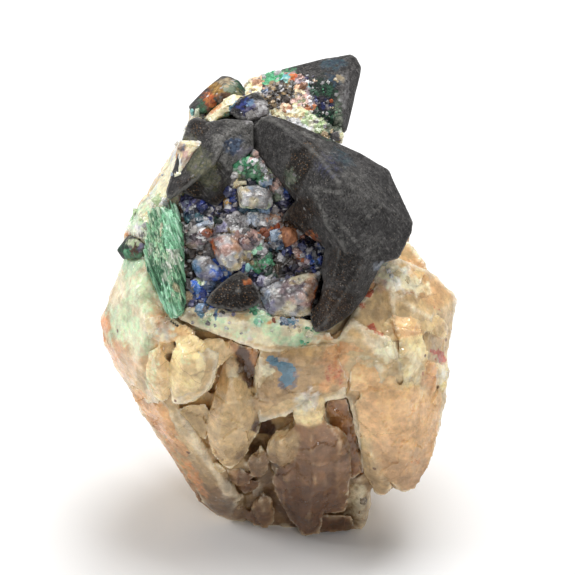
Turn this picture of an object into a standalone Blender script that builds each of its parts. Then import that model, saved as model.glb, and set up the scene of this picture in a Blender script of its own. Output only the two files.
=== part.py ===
"""A cuprite specimen: tarnished cuprite crystals, a sheaf of malachite and a crust of azurite in a pocket
on a mass of milky, iron-stained quartz, standing on the flat broken underside of the quartz.

Every crystal is a convex solid between a few corners. The corners are in millimetres in the frame of the
crystal face, which leans back: u runs right along the face, v up along it and w out of it. The crystals of
quartz are fused into one solid, and every other crystal sits in it in a socket with a hair's gap.
"""

import math
import random

import bmesh
import bpy
from mathutils import Matrix, Vector

# Driving dimensions, in millimetres and degrees.
SPECIMEN_NAME = "cuprite"
FACE_LEAN = 54.0          # how far the crystal face leans back from level
FACE_HEIGHT = 33.5        # height of the face frame's origin over the table
CENTRING = (1.7, -1.75)   # moves the specimen so that its box is centred on the origin
GAP = 0.3                 # clearance between a crystal and the stone it is set in
TABLE_BLOCK = 200.0       # edge of the block that cuts the underside flat
CRUST_SEED = 11

MM = 0.001
LEAN_MATRIX = Matrix.Rotation(math.radians(FACE_LEAN), 3, "X")


def stand(x, y, z):
    """Face-frame place of a point given by its place over the table, before centring."""
    return LEAN_MATRIX.transposed() @ Vector((x, y, z - FACE_HEIGHT))


def blade(rim, crest=(), depth=8.0, taper=0.75):
    """Corners of a crystal: its rim as seen, the corners that stand proud, and a smaller root behind."""
    rim = [Vector(corner) for corner in rim]
    middle = sum(rim, Vector()) / len(rim)
    behind = Vector((0.0, 0.0, -depth))
    root = [middle + (corner - middle) * taper + behind for corner in rim]
    return rim + [Vector(corner) for corner in crest] + root


# Quartz: the core that carries everything, then the crystals and broken blocks fused to it.
QUARTZ_CORE = [
    Vector((-19, -3, 8)), Vector((-12, -4.5, 12)), Vector((-3, -5.5, 12.5)), Vector((6, -5, 12.5)),
    Vector((12, -3, 10)), Vector((-15, 10, 9)), Vector((-10, 18, 8)), Vector((0, 19, 8)), Vector((6, 14, 7)),
    stand(-9.5, -5.5, -2), stand(0, -8.3, -2), stand(9.5, -7.5, -2), stand(10, 6, -2), stand(4, 9.5, -2),
    stand(-8, 8.5, -2), stand(-11, 1, -2), stand(-17, 8, 26), stand(-9, 12, 36), stand(4, 13.5, 40),
    stand(14, 10, 30), stand(-12, 10, 14), stand(12, 9, 14), stand(0, 12.5, 20), stand(-9, 13, 52),
    stand(2, 14, 54),
]

LEFT_SHOULDER = blade(
    rim=[(-26.6, -3.1, 1.5), (-26, -6.3, 1), (-24.9, -8.4, 0.5), (-22.4, -12.3, -1), (-21.5, -14.5, -1),
         (-18.5, -14.5, 5), (-16, -10, 10), (-16.2, -4, 12.5), (-17, 0, 12.5), (-19.5, 5, 11.5),
         (-21.5, 6.3, 9), (-23.3, 5.7, 6), (-24.2, 2.1, 4), (-25.6, -0.4, 2.5)],
    crest=[(-21.5, 1.5, 11), (-20, -4, 12.3), (-21.5, -8.5, 9), (-19.5, -10.5, 8.5)],
    depth=12, taper=0.8)

MOTTLED_SHOULDER = blade(
    rim=[(-23.3, 9.2, 7), (-23.7, 7, 6), (-23.2, 5.5, 6), (-20, 4, 11), (-17, 4, 12.5), (-15.5, 8, 13),
         (-15.5, 13, 12.5), (-17.5, 14.3, 11), (-20, 14.6, 8), (-21.7, 12.3, 7), (-22.4, 10.9, 7)],
    crest=[(-20.5, 10, 11.5), (-19.6, 13.3, 10.5)],
    depth=12)

PALE_FLANK = blade(
    rim=[(-14.1, 24.8, 7), (-14.1, 23, 7.5), (-15.1, 21.6, 6.5), (-16.8, 19.2, 6), (-18.3, 16.2, 6),
         (-20, 14.5, 6.5), (-19, 11, 9), (-15, 12, 11.5), (-13, 16, 12), (-11, 20, 11), (-12, 24.5, 9)],
    crest=[(-16.5, 15.5, 11), (-14.3, 20, 9.5)],
    depth=10)

LOW_LEFT_BLADE = blade(
    rim=[(-22, -12.8, -0.5), (-21.3, -15, -1), (-19.6, -16.8, -2), (-17.1, -19.6, -3.5), (-16.2, -22, -5),
         (-15, -23.8, -6.5), (-13.3, -26.6, -9), (-12.2, -28.4, -10.5), (-10.1, -30.5, -13),
         (-8.4, -30.9, -13), (-6.9, -27.6, -6), (-7.5, -26.9, -5.2), (-10.5, -24, -2), (-13, -19, 1.5),
         (-15, -15.3, 4), (-17.5, -12.5, 6.5), (-20, -12, 5)],
    crest=[(-16, -17.5, 2.5), (-12.5, -22.5, -1.5), (-9, -27.2, -5)],
    depth=9)

CRYSTAL_A = blade(
    rim=[(-12.2, -6, 14), (-10, -7.4, 13.5), (-9.9, -8.5, 13), (-10.3, -10.3, 12), (-11, -12.1, 11),
         (-12.3, -13.4, 10), (-13.5, -14.2, 9.3), (-15, -14.3, 8.8), (-16.4, -14.9, 8), (-16.8, -12.5, 9),
         (-16.6, -9, 11), (-15.8, -6.8, 12.8)],
    crest=[(-13.2, -8.5, 14.3), (-13.5, -12, 12)])

CRYSTAL_B = blade(
    rim=[(-8.8, -7.9, 10), (-7.5, -8.1, 10), (-6.3, -9, 9.5), (-5.6, -10.5, 8.5), (-5.1, -13.5, 6.5),
         (-4.3, -17.3, 3.5), (-4.6, -18.5, 2.5), (-6, -20.5, 1.5), (-6.5, -22, 0.5), (-7.3, -23.1, -0.5),
         (-8.3, -23.6, -1), (-9.3, -23.3, -1), (-10.8, -21, 0), (-11.8, -17.8, 2.5), (-11, -15.5, 5),
         (-9.9, -10.5, 8.5), (-9.3, -8.8, 9.5)],
    crest=[(-8.2, -11.5, 10.8), (-9.6, -17, 6), (-6.2, -17, 6.3), (-8.8, -20.4, 3.2), (-6.7, -20.3, 3)],
    depth=9)

HOLLOW_UNDER_A = blade(
    rim=[(-20, -9, 5), (-16, -11, 6.5), (-11, -13, 5.5), (-9.5, -17, 2), (-12, -21, -1.5), (-16, -19.5, -2),
         (-20, -14.5, 0)],
    depth=10)

RUBBLE_UNDER_B = blade(
    rim=[(-11.2, -21.8, -1.5), (-9.5, -23.4, -2), (-6.8, -23.6, -2.2), (-4.6, -21.5, -1),
         (-3.6, -22.5, -2), (-3.8, -24.5, -4), (-6, -25.3, -4.6), (-9, -24.8, -4.2)],
    crest=[(-5.8, -23, -0.9)],
    depth=6)

FOOT_PRISM_LEFT = blade(
    rim=[(-8.6, -27.3, -8), (-6.6, -27, -8), (-5.8, -29, -10.5), (-6.3, -31.3, -13.6), (-8.9, -31, -13.2)],
    crest=[(-7, -28.5, -8.8)],
    depth=5)

FOOT_PRISM_MIDDLE = blade(
    rim=[(-4.9, -25.2, -6.5), (-2.5, -24.5, -6), (-2.2, -28, -9.5), (-2, -31.8, -13), (-3.8, -32.1, -13),
         (-5.2, -31.9, -13.2), (-6.1, -28.5, -10)],
    crest=[(-4, -27.5, -8.3), (-3.9, -30, -11)],
    depth=6)

CRYSTAL_C = blade(
    rim=[(-2.8, -19.7, 0.5), (-1.6, -18.2, 1.8), (0, -17.2, 3), (5, -16.6, 4.5), (6.3, -17.6, 3),
         (7.6, -18.7, 1.5), (8.4, -20.3, 0), (8.5, -24, -4), (8.2, -30, -10.5), (5.5, -32.6, -13),
         (1.8, -33.4, -11.5), (0.8, -31.8, -11), (-0.7, -29, -9), (-1.8, -26, -6), (-2.1, -23, -3.5),
         (-3, -22.3, -2.5), (-3.2, -21, -1)],
    crest=[(0.3, -19.5, 3.4), (3.2, -19.5, 5), (3.4, -24, 0.8), (1.2, -25, -1.5), (6.5, -21.5, 1.2),
           (2, -30.5, -8)],
    depth=9)

CRYSTAL_C_HEAD = blade(
    rim=[(0.6, -15.2, 6), (1.4, -14.1, 7), (2.7, -13.2, 7.8), (3.9, -12.8, 8), (4.6, -13.3, 7.7),
         (4.9, -14.3, 7), (4.8, -15.6, 6), (5.4, -17, 4.5), (4.4, -21, 2), (1.6, -21.5, 1.5),
         (0.3, -17.3, 4)],
    crest=[(2.2, -15.2, 8), (4, -14.8, 8.4), (3.3, -19, 5.5)])

BROW = blade(
    rim=[(-4.2, -6.8, 13.3), (0, -5.8, 14), (6.3, -5.2, 14), (7.4, -8.6, 12.4), (8, -10.5, 11.2),
         (7.8, -13.3, 9.8), (5.3, -13.6, 9.3), (0.5, -15.3, 8.3), (-2.5, -16.7, 7), (-4.5, -17.3, 6),
         (-5.3, -12, 8.5), (-4.4, -9.5, 11)],
    crest=[(2, -8.5, 13.3), (-1.5, -13.5, 9.5)],
    depth=7, taper=0.8)

POCKET_LIP = blade(
    rim=[(-16.8, -2, 13), (-13, -3.9, 13.8), (-9.5, -5.2, 14), (-5, -6.8, 13.8), (-1, -7.5, 13.6),
         (4, -6, 14.2), (6, -4.8, 14.2), (4.5, -3.5, 14.8), (0, -1.8, 15), (-6, -1, 14.8),
         (-12, -0.8, 14.5), (-15.5, -1, 14)],
    crest=[(-10, -3, 15.2), (-2, -3.8, 15.5)],
    depth=5)

BLOCK_TOP = blade(
    rim=[(11.5, 3.2, 11), (12.8, 5.2, 10.5), (15, 6, 9.5), (19.3, 4.2, 5), (21, 2.8, 4), (23, 1, 3),
         (23.2, 0, 3), (23, -1.4, 3), (22.4, -3.5, 3), (22.3, -7, 2.5), (19, -8.5, 7), (15.2, -6.5, 11),
         (14.2, -1, 12)],
    crest=[(14.2, 1.2, 12.3), (17.3, -1.2, 11), (19.8, -2.5, 8.5)],
    depth=12)

BLOCK_BEHIND = blade(
    rim=[(13, 8, 2), (16.5, 8.3, 1.5), (17.9, 6.6, 1.5), (18.8, 5.6, 1.5), (19.5, 3.5, 2), (13, 1, 3)],
    depth=8)

BLOCK_RED = blade(
    rim=[(8.5, -2, 13), (10.4, 0.8, 12.3), (11.6, 1.9, 11.5), (14, 0.2, 11.2), (15, -1.8, 11.2),
         (14.6, -4.8, 11.5), (11.5, -4.5, 12.5)],
    depth=6)

BLOCK_CREAM = blade(
    rim=[(6.6, -5.2, 13.8), (8.5, -2.6, 14), (11, -4.3, 13.5), (13.8, -5.2, 13), (15.2, -7.3, 12),
         (15.8, -10, 10.5), (12, -12, 10), (8.2, -11, 10.5), (7.2, -8.5, 12.2)],
    crest=[(11.5, -5.8, 14.2)])

BLOCK_FRONT = blade(
    rim=[(7.8, -9, 11), (8.2, -15, 7), (9.7, -19.6, 3.5), (10.3, -24, 0.5), (14.5, -25.2, -0.5),
         (18, -24.6, -2), (19.6, -23.4, -2.5), (20.4, -20.3, -1.5), (21, -16.8, -0.5), (22, -11.5, 1),
         (22.2, -7.5, 2.5), (19, -7, 8), (14, -5.5, 12.5), (9, -6, 13)],
    crest=[(12.5, -9.5, 12.3), (16.5, -10.5, 10), (19, -10.2, 7.5), (13.5, -17, 6.5), (17.8, -18, 4)],
    depth=9)

BLOCK_TIP_LEFT = blade(
    rim=[(10, -21, 1.5), (10.2, -23.5, 0), (11.3, -25.4, -1.5), (11.7, -26.6, -2.8), (12.5, -27.2, -3.3),
         (13.2, -27.3, -3.3), (14.1, -26.6, -2.8), (14.6, -25.6, -2), (13.5, -22, 1.2)],
    depth=5)

BLOCK_TIP_RIGHT = blade(
    rim=[(14.4, -24.5, -0.5), (14.6, -25.9, -1.8), (15.3, -26.7, -2.6), (16.1, -27, -3),
         (17.3, -26.5, -3), (17.8, -25.5, -2.5), (18.3, -24.4, -2.2), (17, -21, 2)],
    depth=6)

FOOT_SUGAR = blade(
    rim=[(8.3, -25, -5), (10.5, -24.5, -4), (11.4, -26.3, -6.5), (11.3, -29, -9.5), (10.7, -31, -12),
         (10.2, -32.7, -12.5), (8.6, -32.5, -12.8), (7.8, -29, -9.5)],
    crest=[(9.8, -28, -7.3)],
    depth=6)

FOOT_PRISM_FRONT = blade(
    rim=[(0.9, -30.8, -9.5), (2.2, -30.4, -8.6), (3.3, -31.2, -9.8), (3, -32.8, -11), (1.8, -33.4, -11.4)],
    depth=4)

BACK_BLOCK = blade(
    rim=[(-7.5, 26, 8), (-6.3, 29.5, 7), (-5.6, 30.9, 4.5), (-3.9, 31.2, 4), (-2.5, 31.8, 4),
         (0.5, 32.2, 4), (3.5, 31, 6.5), (6.5, 29, 8), (7.2, 24, 8.5), (7, 22, 8.5), (3, 21, 10),
         (-3, 22, 10.5), (-7, 23, 9.5)],
    crest=[(-5.5, 28.6, 8.3), (0.3, 30.4, 8), (-0.5, 27, 9.3), (2.5, 27.3, 9.5)],
    depth=7, taper=0.8)

CREAM_LEDGE = blade(
    rim=[(-12.3, 25.1, 9.5), (-11.2, 26.5, 10), (-9.2, 28.2, 9.5), (-6, 28.5, 9), (-8, 26, 10.8),
         (-11, 24.6, 10.5)],
    crest=[(-9.2, 27, 10.9)],
    depth=7)

PALE_CORNER = blade(
    rim=[(-14.2, 27, 6), (-14.1, 24.5, 6.5), (-12.4, 24.8, 7.5), (-12.3, 26.5, 7.5)],
    depth=7)

# The side away from the pocket: broken quartz, by place over the table.
BACK_LEFT = [
    stand(-22, 1, 30), stand(-20, 9, 26), stand(-20.5, 7, 36), stand(-13, 13.5, 44), stand(-8, 15.5, 38),
    stand(-9, 14, 22), stand(-15, 9, 12), stand(-16, 2, 16), stand(-13, 7, 46), stand(-6, 8, 30),
]
BACK_RIGHT = [
    stand(20, 1, 34), stand(19.5, 7, 30), stand(12, 13.5, 41), stand(15.5, 9, 18), stand(7, 14.5, 22),
    stand(9, 15.5, 35), stand(17, 2, 18), stand(7, 8, 42), stand(5, 6, 24),
]
BACK_MIDDLE = [
    stand(-7, 16.5, 54), stand(6, 17, 52), stand(2, 17.5, 40), stand(-5, 16, 34), stand(7, 14, 60),
    stand(-8, 11, 60), stand(0, 8, 58), stand(3, 8, 36), stand(-6, 8, 40),
]
BACK_FOOT = [
    stand(-7, 12, -2), stand(5, 12.5, -2), stand(8, 11.5, 12), stand(0, 14.5, 16), stand(-9, 12, 10),
    stand(-5, 4, -2), stand(5, 4, -2), stand(0, 6, 18),
]

BACK_SHOULDER = [
    stand(-14.5, 6, 50), stand(-14, 13, 50), stand(-13.5, 12.5, 56), stand(-8, 14, 60), stand(-5, 8, 58),
    stand(-6, 16.5, 52), stand(-12, 6, 45), stand(-4, 10, 46), stand(-9, 14.5, 45),
]
VALLEY_FLOOR = [
    Vector((-9, 15, 8)), Vector((5, 16, 8)), Vector((6, 20, 9)), Vector((-9, 21, 9)), Vector((-5, 24, 9.5)),
    Vector((5, 23, 9)), Vector((-8, 22, 0)), Vector((6, 21, 0)), Vector((0, 15, 1)), Vector((-5, 24, 2)),
]

# Broken chunks on the back and sides: place over the table, half sizes and turn about the upright.
BACK_CHUNKS = [
    ((-14, 8, 22), (8, 5, 8), 28), ((-4, 10, 26), (8, 6, 9), -12), ((7, 10, 19), (7, 5.5, 9), 18),
    ((13, 8, 27), (7, 5, 8), 35), ((-9, 11, 37), (8, 5.5, 7), -22), ((2, 12.5, 35), (7, 5, 8), 10),
    ((11, 9, 37), (6, 5, 6), 32), ((-11, 9, 46), (6, 5, 6), -30), ((1, 13, 47), (7, 4.5, 7), -8),
    ((-8, 7.5, 9), (5, 5.5, 9), -20), ((4, 8, 8), (6.5, 5.5, 10), 12), ((-2, 13, 55), (7, 4.5, 5), 10),
    ((-19, 2, 33), (4.5, 7, 7), -10), ((17, 2, 27), (4.5, 7, 8), 12), ((-13, 0, 18), (4.5, 7, 8), -12),
    ((12, 0, 13), (4, 6, 8), 10), ((-17, 3, 42), (4, 6, 5), -15), ((3, 14, 58), (4.5, 4, 4), 0),
]
CHUNK_CORNERS = 13
CHUNK_SEED = 5


def uneven_ball(count, generator):
    """Directions spread over a ball by a spiral, with seeded unevenness in turn and reach."""
    for number in range(count):
        height = 1.0 - 2.0 * (number + 0.5) / count
        turn = number * math.pi * (3.0 - math.sqrt(5.0)) + generator.uniform(-0.4, 0.4)
        ring = math.sqrt(1.0 - height * height)
        yield Vector((math.cos(turn) * ring, math.sin(turn) * ring, height)) * generator.uniform(0.85, 1.15)


def chunk(place, reach, turn, generator):
    """Corners of a broken block: an uneven ball stretched to the half sizes and turned."""
    rotation = Matrix.Rotation(math.radians(turn), 3, "Z")
    corners = []
    for direction in uneven_ball(CHUNK_CORNERS, generator):
        stretched = Vector([half * part for half, part in zip(reach, direction)])
        corners.append(stand(*(Vector(place) + rotation @ stretched)))
    return corners


QUARTZ_PIECES = {
    "left_shoulder": LEFT_SHOULDER, "mottled_shoulder": MOTTLED_SHOULDER, "pale_flank": PALE_FLANK,
    "low_left_blade": LOW_LEFT_BLADE, "crystal_a": CRYSTAL_A, "crystal_b": CRYSTAL_B,
    "hollow_under_a": HOLLOW_UNDER_A, "rubble_under_b": RUBBLE_UNDER_B, "foot_prism_left": FOOT_PRISM_LEFT,
    "foot_prism_middle": FOOT_PRISM_MIDDLE, "crystal_c": CRYSTAL_C, "crystal_c_head": CRYSTAL_C_HEAD,
    "brow": BROW, "pocket_lip": POCKET_LIP, "block_top": BLOCK_TOP, "block_behind": BLOCK_BEHIND,
    "block_red": BLOCK_RED, "block_cream": BLOCK_CREAM, "block_front": BLOCK_FRONT,
    "block_tip_left": BLOCK_TIP_LEFT, "block_tip_right": BLOCK_TIP_RIGHT, "foot_sugar": FOOT_SUGAR,
    "foot_prism_front": FOOT_PRISM_FRONT, "back_block": BACK_BLOCK, "cream_ledge": CREAM_LEDGE,
    "pale_corner": PALE_CORNER, "back_left": BACK_LEFT, "back_right": BACK_RIGHT,
    "back_middle": BACK_MIDDLE, "back_foot": BACK_FOOT, "back_shoulder": BACK_SHOULDER,
    "valley_floor": VALLEY_FLOOR,
}

# Cuprite, malachite and the grains: each node is one crystal, or a few grown together.
CRYSTALS = {
    "cuprite_main": [
        blade(
            rim=[(-3.9, 25.2, 15), (-2.8, 25.5, 15.5), (-0.7, 24.9, 16), (3.9, 22.4, 16),
                 (9.8, 20.2, 15), (13.6, 17.9, 14.5), (15.1, 14.1, 14.5), (16.9, 10.8, 14),
                 (16.8, 9.5, 13.7), (15, 6, 14), (12.6, 5.3, 15), (8.5, 5, 17), (2.5, 14.8, 17),
                 (0.3, 15.5, 15), (-1, 17, 14), (-5, 21, 13), (-5, 24, 13.5)],
            crest=[(-2, 24.7, 17.2), (1.8, 22.3, 19.5), (4, 19.8, 21.8), (6.7, 16.3, 24),
                   (3.2, 15, 21.5), (5, 11, 21), (7.3, 7.6, 20)],
            depth=8, taper=0.62),
        blade(
            rim=[(2.2, 15.1, 18), (-0.9, 11.6, 14), (2, 9.6, 14), (5.5, 7.3, 15.5), (8.5, 5, 16.5),
                 (8, 13, 16)],
            crest=[(3, 13.5, 19.2), (7, 7.5, 18.5)],
            depth=6),
        blade(
            rim=[(5.3, 8, 15.5), (5, 4, 15.5), (4.6, 1.5, 15.3), (3.9, 0, 15), (3.1, -2.5, 14.8),
                 (3.6, -4.2, 15), (4.9, -4.1, 15.3), (6.3, -3.2, 15.3), (8.4, -1.7, 15),
                 (10.1, 0.3, 14.5), (11.6, 3.5, 14.5), (12.8, 5.6, 14.5), (10, 9, 16.5)],
            crest=[(7, 7.2, 18.7), (9.6, 4.4, 17.9), (7.2, 0.5, 17.4), (5, -3, 16.5)],
            depth=7),
    ],
    "cuprite_left": [
        blade(
            rim=[(-14, 24.8, 12), (-13, 25.3, 12), (-10.9, 24.3, 13), (-9.3, 21.5, 16),
                 (-10.6, 18.9, 16.5), (-14, 16, 15.5), (-16.8, 14.2, 14), (-17, 15, 13.5),
                 (-15, 18.5, 12.5), (-14.1, 21.5, 12)],
            crest=[(-11, 23, 14.5)],
            depth=5, taper=0.85),
        blade(
            rim=[(-11.6, 24.5, 13.3), (-9, 25, 13.5), (-5.3, 24.7, 13.8), (-5.3, 21.2, 14.2),
                 (-6.3, 20.2, 14), (-8.6, 18.8, 14.6), (-10.6, 18.6, 15.2)],
            crest=[(-9.6, 22.3, 15.8)],
            depth=6, taper=0.85),
        blade(
            rim=[(-12.2, 18, 15.8), (-9, 20.2, 15.6), (-8.2, 18.5, 14.4), (-8.4, 16, 13.6),
                 (-8.9, 14.6, 13.2), (-10.2, 13.4, 13), (-12.2, 14, 13.2), (-15.2, 15.4, 14.4)],
            depth=5, taper=0.85),
    ],
    "cuprite_upper_left": [
        blade(
            rim=[(-14, 26.9, 7.5), (-11.9, 29, 6.5), (-10.5, 30.2, 6), (-9.4, 31.1, 6), (-8.4, 31, 6),
                 (-7.2, 30.4, 6.5), (-6.2, 29, 7.5), (-7, 28.3, 9.5), (-9.5, 28.6, 10.3),
                 (-12, 26.3, 9.6), (-13.2, 25.9, 8.4)],
            crest=[(-9, 29.8, 9)],
            depth=4),
    ],
    "cuprite_back": [
        blade(
            rim=[(-1.2, 32, 5.5), (1.4, 32.6, 5.5), (4.9, 33.5, 5), (8.5, 34.1, 4.5), (9.2, 33.6, 4.5),
                 (9.8, 32.5, 5), (9.4, 30.8, 6), (8.7, 28, 7), (8.1, 25.5, 7.8), (7.6, 23.5, 8.2),
                 (4.5, 24.5, 9.3), (3.2, 26.5, 9.8), (3.2, 30.2, 9), (0.5, 31, 7.5)],
            crest=[(7.2, 30.3, 9.3), (7, 25, 10), (4.5, 31, 8.5)],
            depth=6, taper=0.7),
    ],
    "cuprite_ledge": [
        blade(
            rim=[(-8.5, 26.4, 11), (-6.2, 28.2, 10.2), (-4.8, 28.8, 9.6), (-3.3, 27.5, 10.3),
                 (-3, 26.1, 11), (-4.5, 25.3, 11.8), (-7, 25.3, 11.8)],
            crest=[(-5.3, 27, 11.9)],
            depth=3.5),
    ],
    "cuprite_pocket": [
        blade(
            rim=[(-11.5, -0.3, 15), (-10.8, 0.8, 15), (-9.1, 2.4, 14.8), (-7, 3.9, 14.4),
                 (-5.6, 2.7, 14.8), (-4.8, 1.4, 15), (-4.2, 0.4, 15.2), (-4.6, -0.4, 15.4),
                 (-6, -1, 15.6), (-7, -1.3, 15.7), (-8.7, -0.8, 15.6), (-10.5, -0.7, 15.3)],
            crest=[(-7.2, 1.2, 16.3)],
            depth=4),
    ],
    "cuprite_edge": [
        blade(
            rim=[(-23.9, 7, 7.5), (-23.2, 5.9, 8), (-22.3, 8.9, 9), (-21.8, 6.6, 10.5),
                 (-20.8, 6.1, 11.4), (-20.2, 7.4, 11.6), (-20.9, 8, 11.4)],
            crest=[(-22.4, 7.5, 10.4)],
            depth=4, taper=0.6),
    ],
    "malachite_sheaf": [
        blade(
            rim=[(-19.3, 12.3, 12.6), (-18.5, 12.9, 12.8), (-17.5, 12.9, 13), (-16.3, 12.4, 13.5),
                 (-15.1, 10.5, 14), (-15, 7.7, 14.3), (-15.1, 1.4, 14.6), (-14.7, -0.4, 14.4),
                 (-15, -1.8, 14.2), (-16, -2.5, 14), (-16.8, -1.7, 13.8), (-18.6, 1.4, 13.2),
                 (-20, 5.3, 12.6), (-20.2, 6.3, 12.6), (-19.6, 9.8, 12.6)],
            crest=[(-17.2, 11, 14.8), (-17, 5, 16), (-16, 0, 15.6)],
            depth=4),
    ],
    "quartz_point": [
        blade(
            rim=[(-4, 1.6, 13.8), (-3.9, -0.2, 14.2), (-2.8, -1.9, 14.6), (0, -2.3, 14.8),
                 (2.7, -1.9, 14.6), (2.8, 0, 14.6), (3.6, 2, 14.2), (4.2, 3.9, 13.6), (3, 3.1, 13.4),
                 (0.5, 2.6, 13.2), (-1.5, 2.2, 13.2)],
            crest=[(-2, 0.3, 15.8), (1.8, 0.7, 16.3)],
            depth=4),
    ],
    "quartz_grain_clear": [
        blade(
            rim=[(-7.2, 15.5, 14), (-5.6, 16.1, 13.8), (-3.2, 15.3, 14), (-2.6, 13.6, 14.4),
                 (-3.2, 12.9, 14.6), (-6.8, 13, 14.6)],
            crest=[(-6.3, 14.9, 15.6), (-3.8, 14.5, 15.6), (-3.9, 13.3, 15.7), (-6.4, 13.4, 15.8)],
            depth=3),
    ],
    "quartz_grain_peach": [
        blade(
            rim=[(-11, 8.3, 13.6), (-10, 9.2, 13.4), (-8.4, 9.2, 13.6), (-6.9, 7.5, 14),
                 (-6.7, 6, 14.2), (-7.1, 4.4, 14.4), (-8.3, 4, 14.4), (-9.5, 5, 14.2),
                 (-10.4, 6.5, 14)],
            crest=[(-8.6, 7, 15.6), (-8.3, 5.2, 15.5)],
            depth=3),
    ],
    "quartz_grain_lilac": [
        blade(
            rim=[(-13.6, 5.2, 13.4), (-12.8, 6, 13.2), (-11.4, 5.9, 13.4), (-10.2, 4.7, 13.8),
                 (-9.2, 3.6, 14), (-9.9, 2.8, 14.2), (-12, 2.6, 14.2), (-13, 3.5, 14)],
            crest=[(-12, 4.6, 15), (-10.6, 3.6, 15.1)],
            depth=3),
    ],
    "iron_oxide_grain": [
        blade(
            rim=[(-1.3, 9.7, 13.6), (-0.8, 10.1, 13.4), (0.2, 9.9, 13.4), (0.9, 9.1, 13.4),
                 (0.9, 8.3, 13.6), (-0.5, 7.7, 14), (-1.1, 8.6, 14)],
            crest=[(0, 9.3, 15), (-0.2, 8.5, 14.9)],
            depth=2.5),
    ],
}

# The crust's bed, then its knots: place (u, v, w) and size, grouped by what grew there.
CRUST_BED = blade(
    rim=[(-15, 13.8, 12), (-13, 16, 12), (-9, 19.5, 12), (-5, 21, 12), (-2, 20, 12), (1, 16, 12),
         (3, 12, 12), (5.3, 8, 12), (5.3, 4, 12), (4, -1.5, 12.5), (1, -3, 13), (-6, -3, 13.2),
         (-12, -2.6, 13), (-15, -1.5, 12.5)],
    depth=3, taper=0.9)
CRUST_KNOTS = {
    "malachite arc": [(-8.3, 17.2, 13, 1.3), (-7.3, 18.5, 13, 1.4), (-6, 19, 13.2, 1.4),
                      (-4.7, 18.3, 13.5, 1.5), (-3.6, 17.2, 13.5, 1.2), (-5.6, 17.3, 13, 1.3)],
    "pale arc": [(-4.6, 20, 13, 1), (-3.4, 20.1, 13.3, 1), (-2.4, 19.1, 13.5, 1.1), (-1.9, 17.9, 13.6, 1),
                 (-1.3, 16.9, 13.5, 1), (-1.6, 15.8, 13.5, 0.9), (-7.5, 16.6, 13.2, 0.9)],
    "azurite by the ridge": [(-0.4, 15.4, 13, 1), (-0.9, 14.4, 13, 1), (-0.9, 13, 12.8, 0.9),
                             (-8.2, 15, 12.8, 1), (-8.3, 13.5, 12.7, 1)],
    "blue band": [(-5.6, 12.4, 13, 1), (-3.8, 12.2, 13, 1), (-2.3, 12.6, 13, 0.9), (-7.3, 12.5, 12.8, 0.9)],
    "sugary quartz": [(-8.2, 11, 13, 0.9), (-7.2, 11.3, 13.3, 0.9), (-6.1, 11, 13.5, 1), (-5, 11.2, 13.6, 1),
                      (-3.9, 10.9, 13.6, 1.1), (-7.6, 10, 13.1, 0.8), (-9.3, 10.3, 12.8, 0.9)],
    "iron trail": [(-2.3, 10.7, 13.2, 1), (-3.2, 9.3, 13.2, 1), (1.2, 7.6, 13, 0.8), (1.6, 6.4, 13, 0.8),
                   (2.2, 5.1, 12.9, 0.8)],
    "azurite ball": [(-2, 8.6, 13.3, 1.3), (-0.8, 7, 12.8, 1)],
    "pale grains": [(-7.3, 9.2, 13.3, 0.8), (-6.2, 9.3, 13.6, 0.9), (-5, 8.9, 13.6, 0.9),
                    (-6.1, 8.2, 13.7, 0.8), (-4.6, 7.9, 13.3, 0.7), (-6, 6.3, 13, 0.8)],
    "navy crust": [(-14, 13, 12.6, 1), (-12.8, 13.1, 12.9, 1.1), (-11.8, 12.4, 12.8, 1),
                   (-13.4, 11.7, 12.6, 1)],
    "brown crust": [(-13.7, 9.7, 13, 1.1), (-12.3, 9.3, 13.2, 1.2), (-11.8, 10.8, 12.9, 1),
                    (-13.4, 8, 12.7, 1), (-14, 6.5, 12.5, 0.8)],
    "malachite grains": [(-4, 6.8, 13.2, 1.1), (-3.7, 5.6, 13.3, 1.1), (-4.7, 4.8, 13, 0.9),
                         (-3.1, 4.5, 13, 1)],
    "dark grains": [(-1.7, 6, 12.6, 1.1), (-0.4, 5.5, 12.6, 1), (0.9, 4.6, 12.5, 1), (-1.2, 4.3, 12.6, 0.9)],
    "deep azurite": [(3, 6.5, 12.9, 1), (3.8, 5.5, 13, 1), (2.7, 4.6, 12.9, 0.9), (4.2, 7.4, 12.8, 0.9)],
    "bright azurite": [(-13.2, 1.6, 13.3, 1.1), (-11.8, 1.7, 13.5, 1.1), (-12.5, 0.4, 13.6, 1),
                       (-13.6, 0.2, 13.3, 0.9), (-6.2, 4.5, 13, 0.8), (-5.6, 3.9, 12.9, 0.8)],
    "white grains": [(-3.6, 2.6, 13, 0.8), (-2.5, 3.1, 12.9, 0.9), (-14, 3.4, 12.8, 0.8)],
    "lip grains": [(-12.4, -1.1, 13.5, 1), (-10.6, -1.8, 13.6, 1), (-5.2, -1.7, 13.6, 1), (-8.2, -2, 13.6, 1),
                   (-3.4, -2.4, 13.5, 1)],
}
KNOT_CORNERS = 9

FINISHES = {
    "quartz": ((0.70, 0.58, 0.44), 0.35, 0.0),
    "cuprite": ((0.035, 0.033, 0.036), 0.38, 0.6),
    "malachite": ((0.12, 0.36, 0.19), 0.6, 0.0),
    "crust": ((0.16, 0.25, 0.36), 0.55, 0.0),
    "clear_quartz": ((0.66, 0.62, 0.58), 0.15, 0.0),
    "iron_oxide": ((0.45, 0.14, 0.04), 0.6, 0.0),
}
NODE_FINISHES = {
    "malachite_sheaf": "malachite", "quartz_point": "clear_quartz", "quartz_grain_clear": "clear_quartz",
    "quartz_grain_peach": "clear_quartz", "quartz_grain_lilac": "clear_quartz",
    "iron_oxide_grain": "iron_oxide",
}


def clear_scene():
    for item in list(bpy.data.objects):
        bpy.data.objects.remove(item, do_unlink=True)


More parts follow.
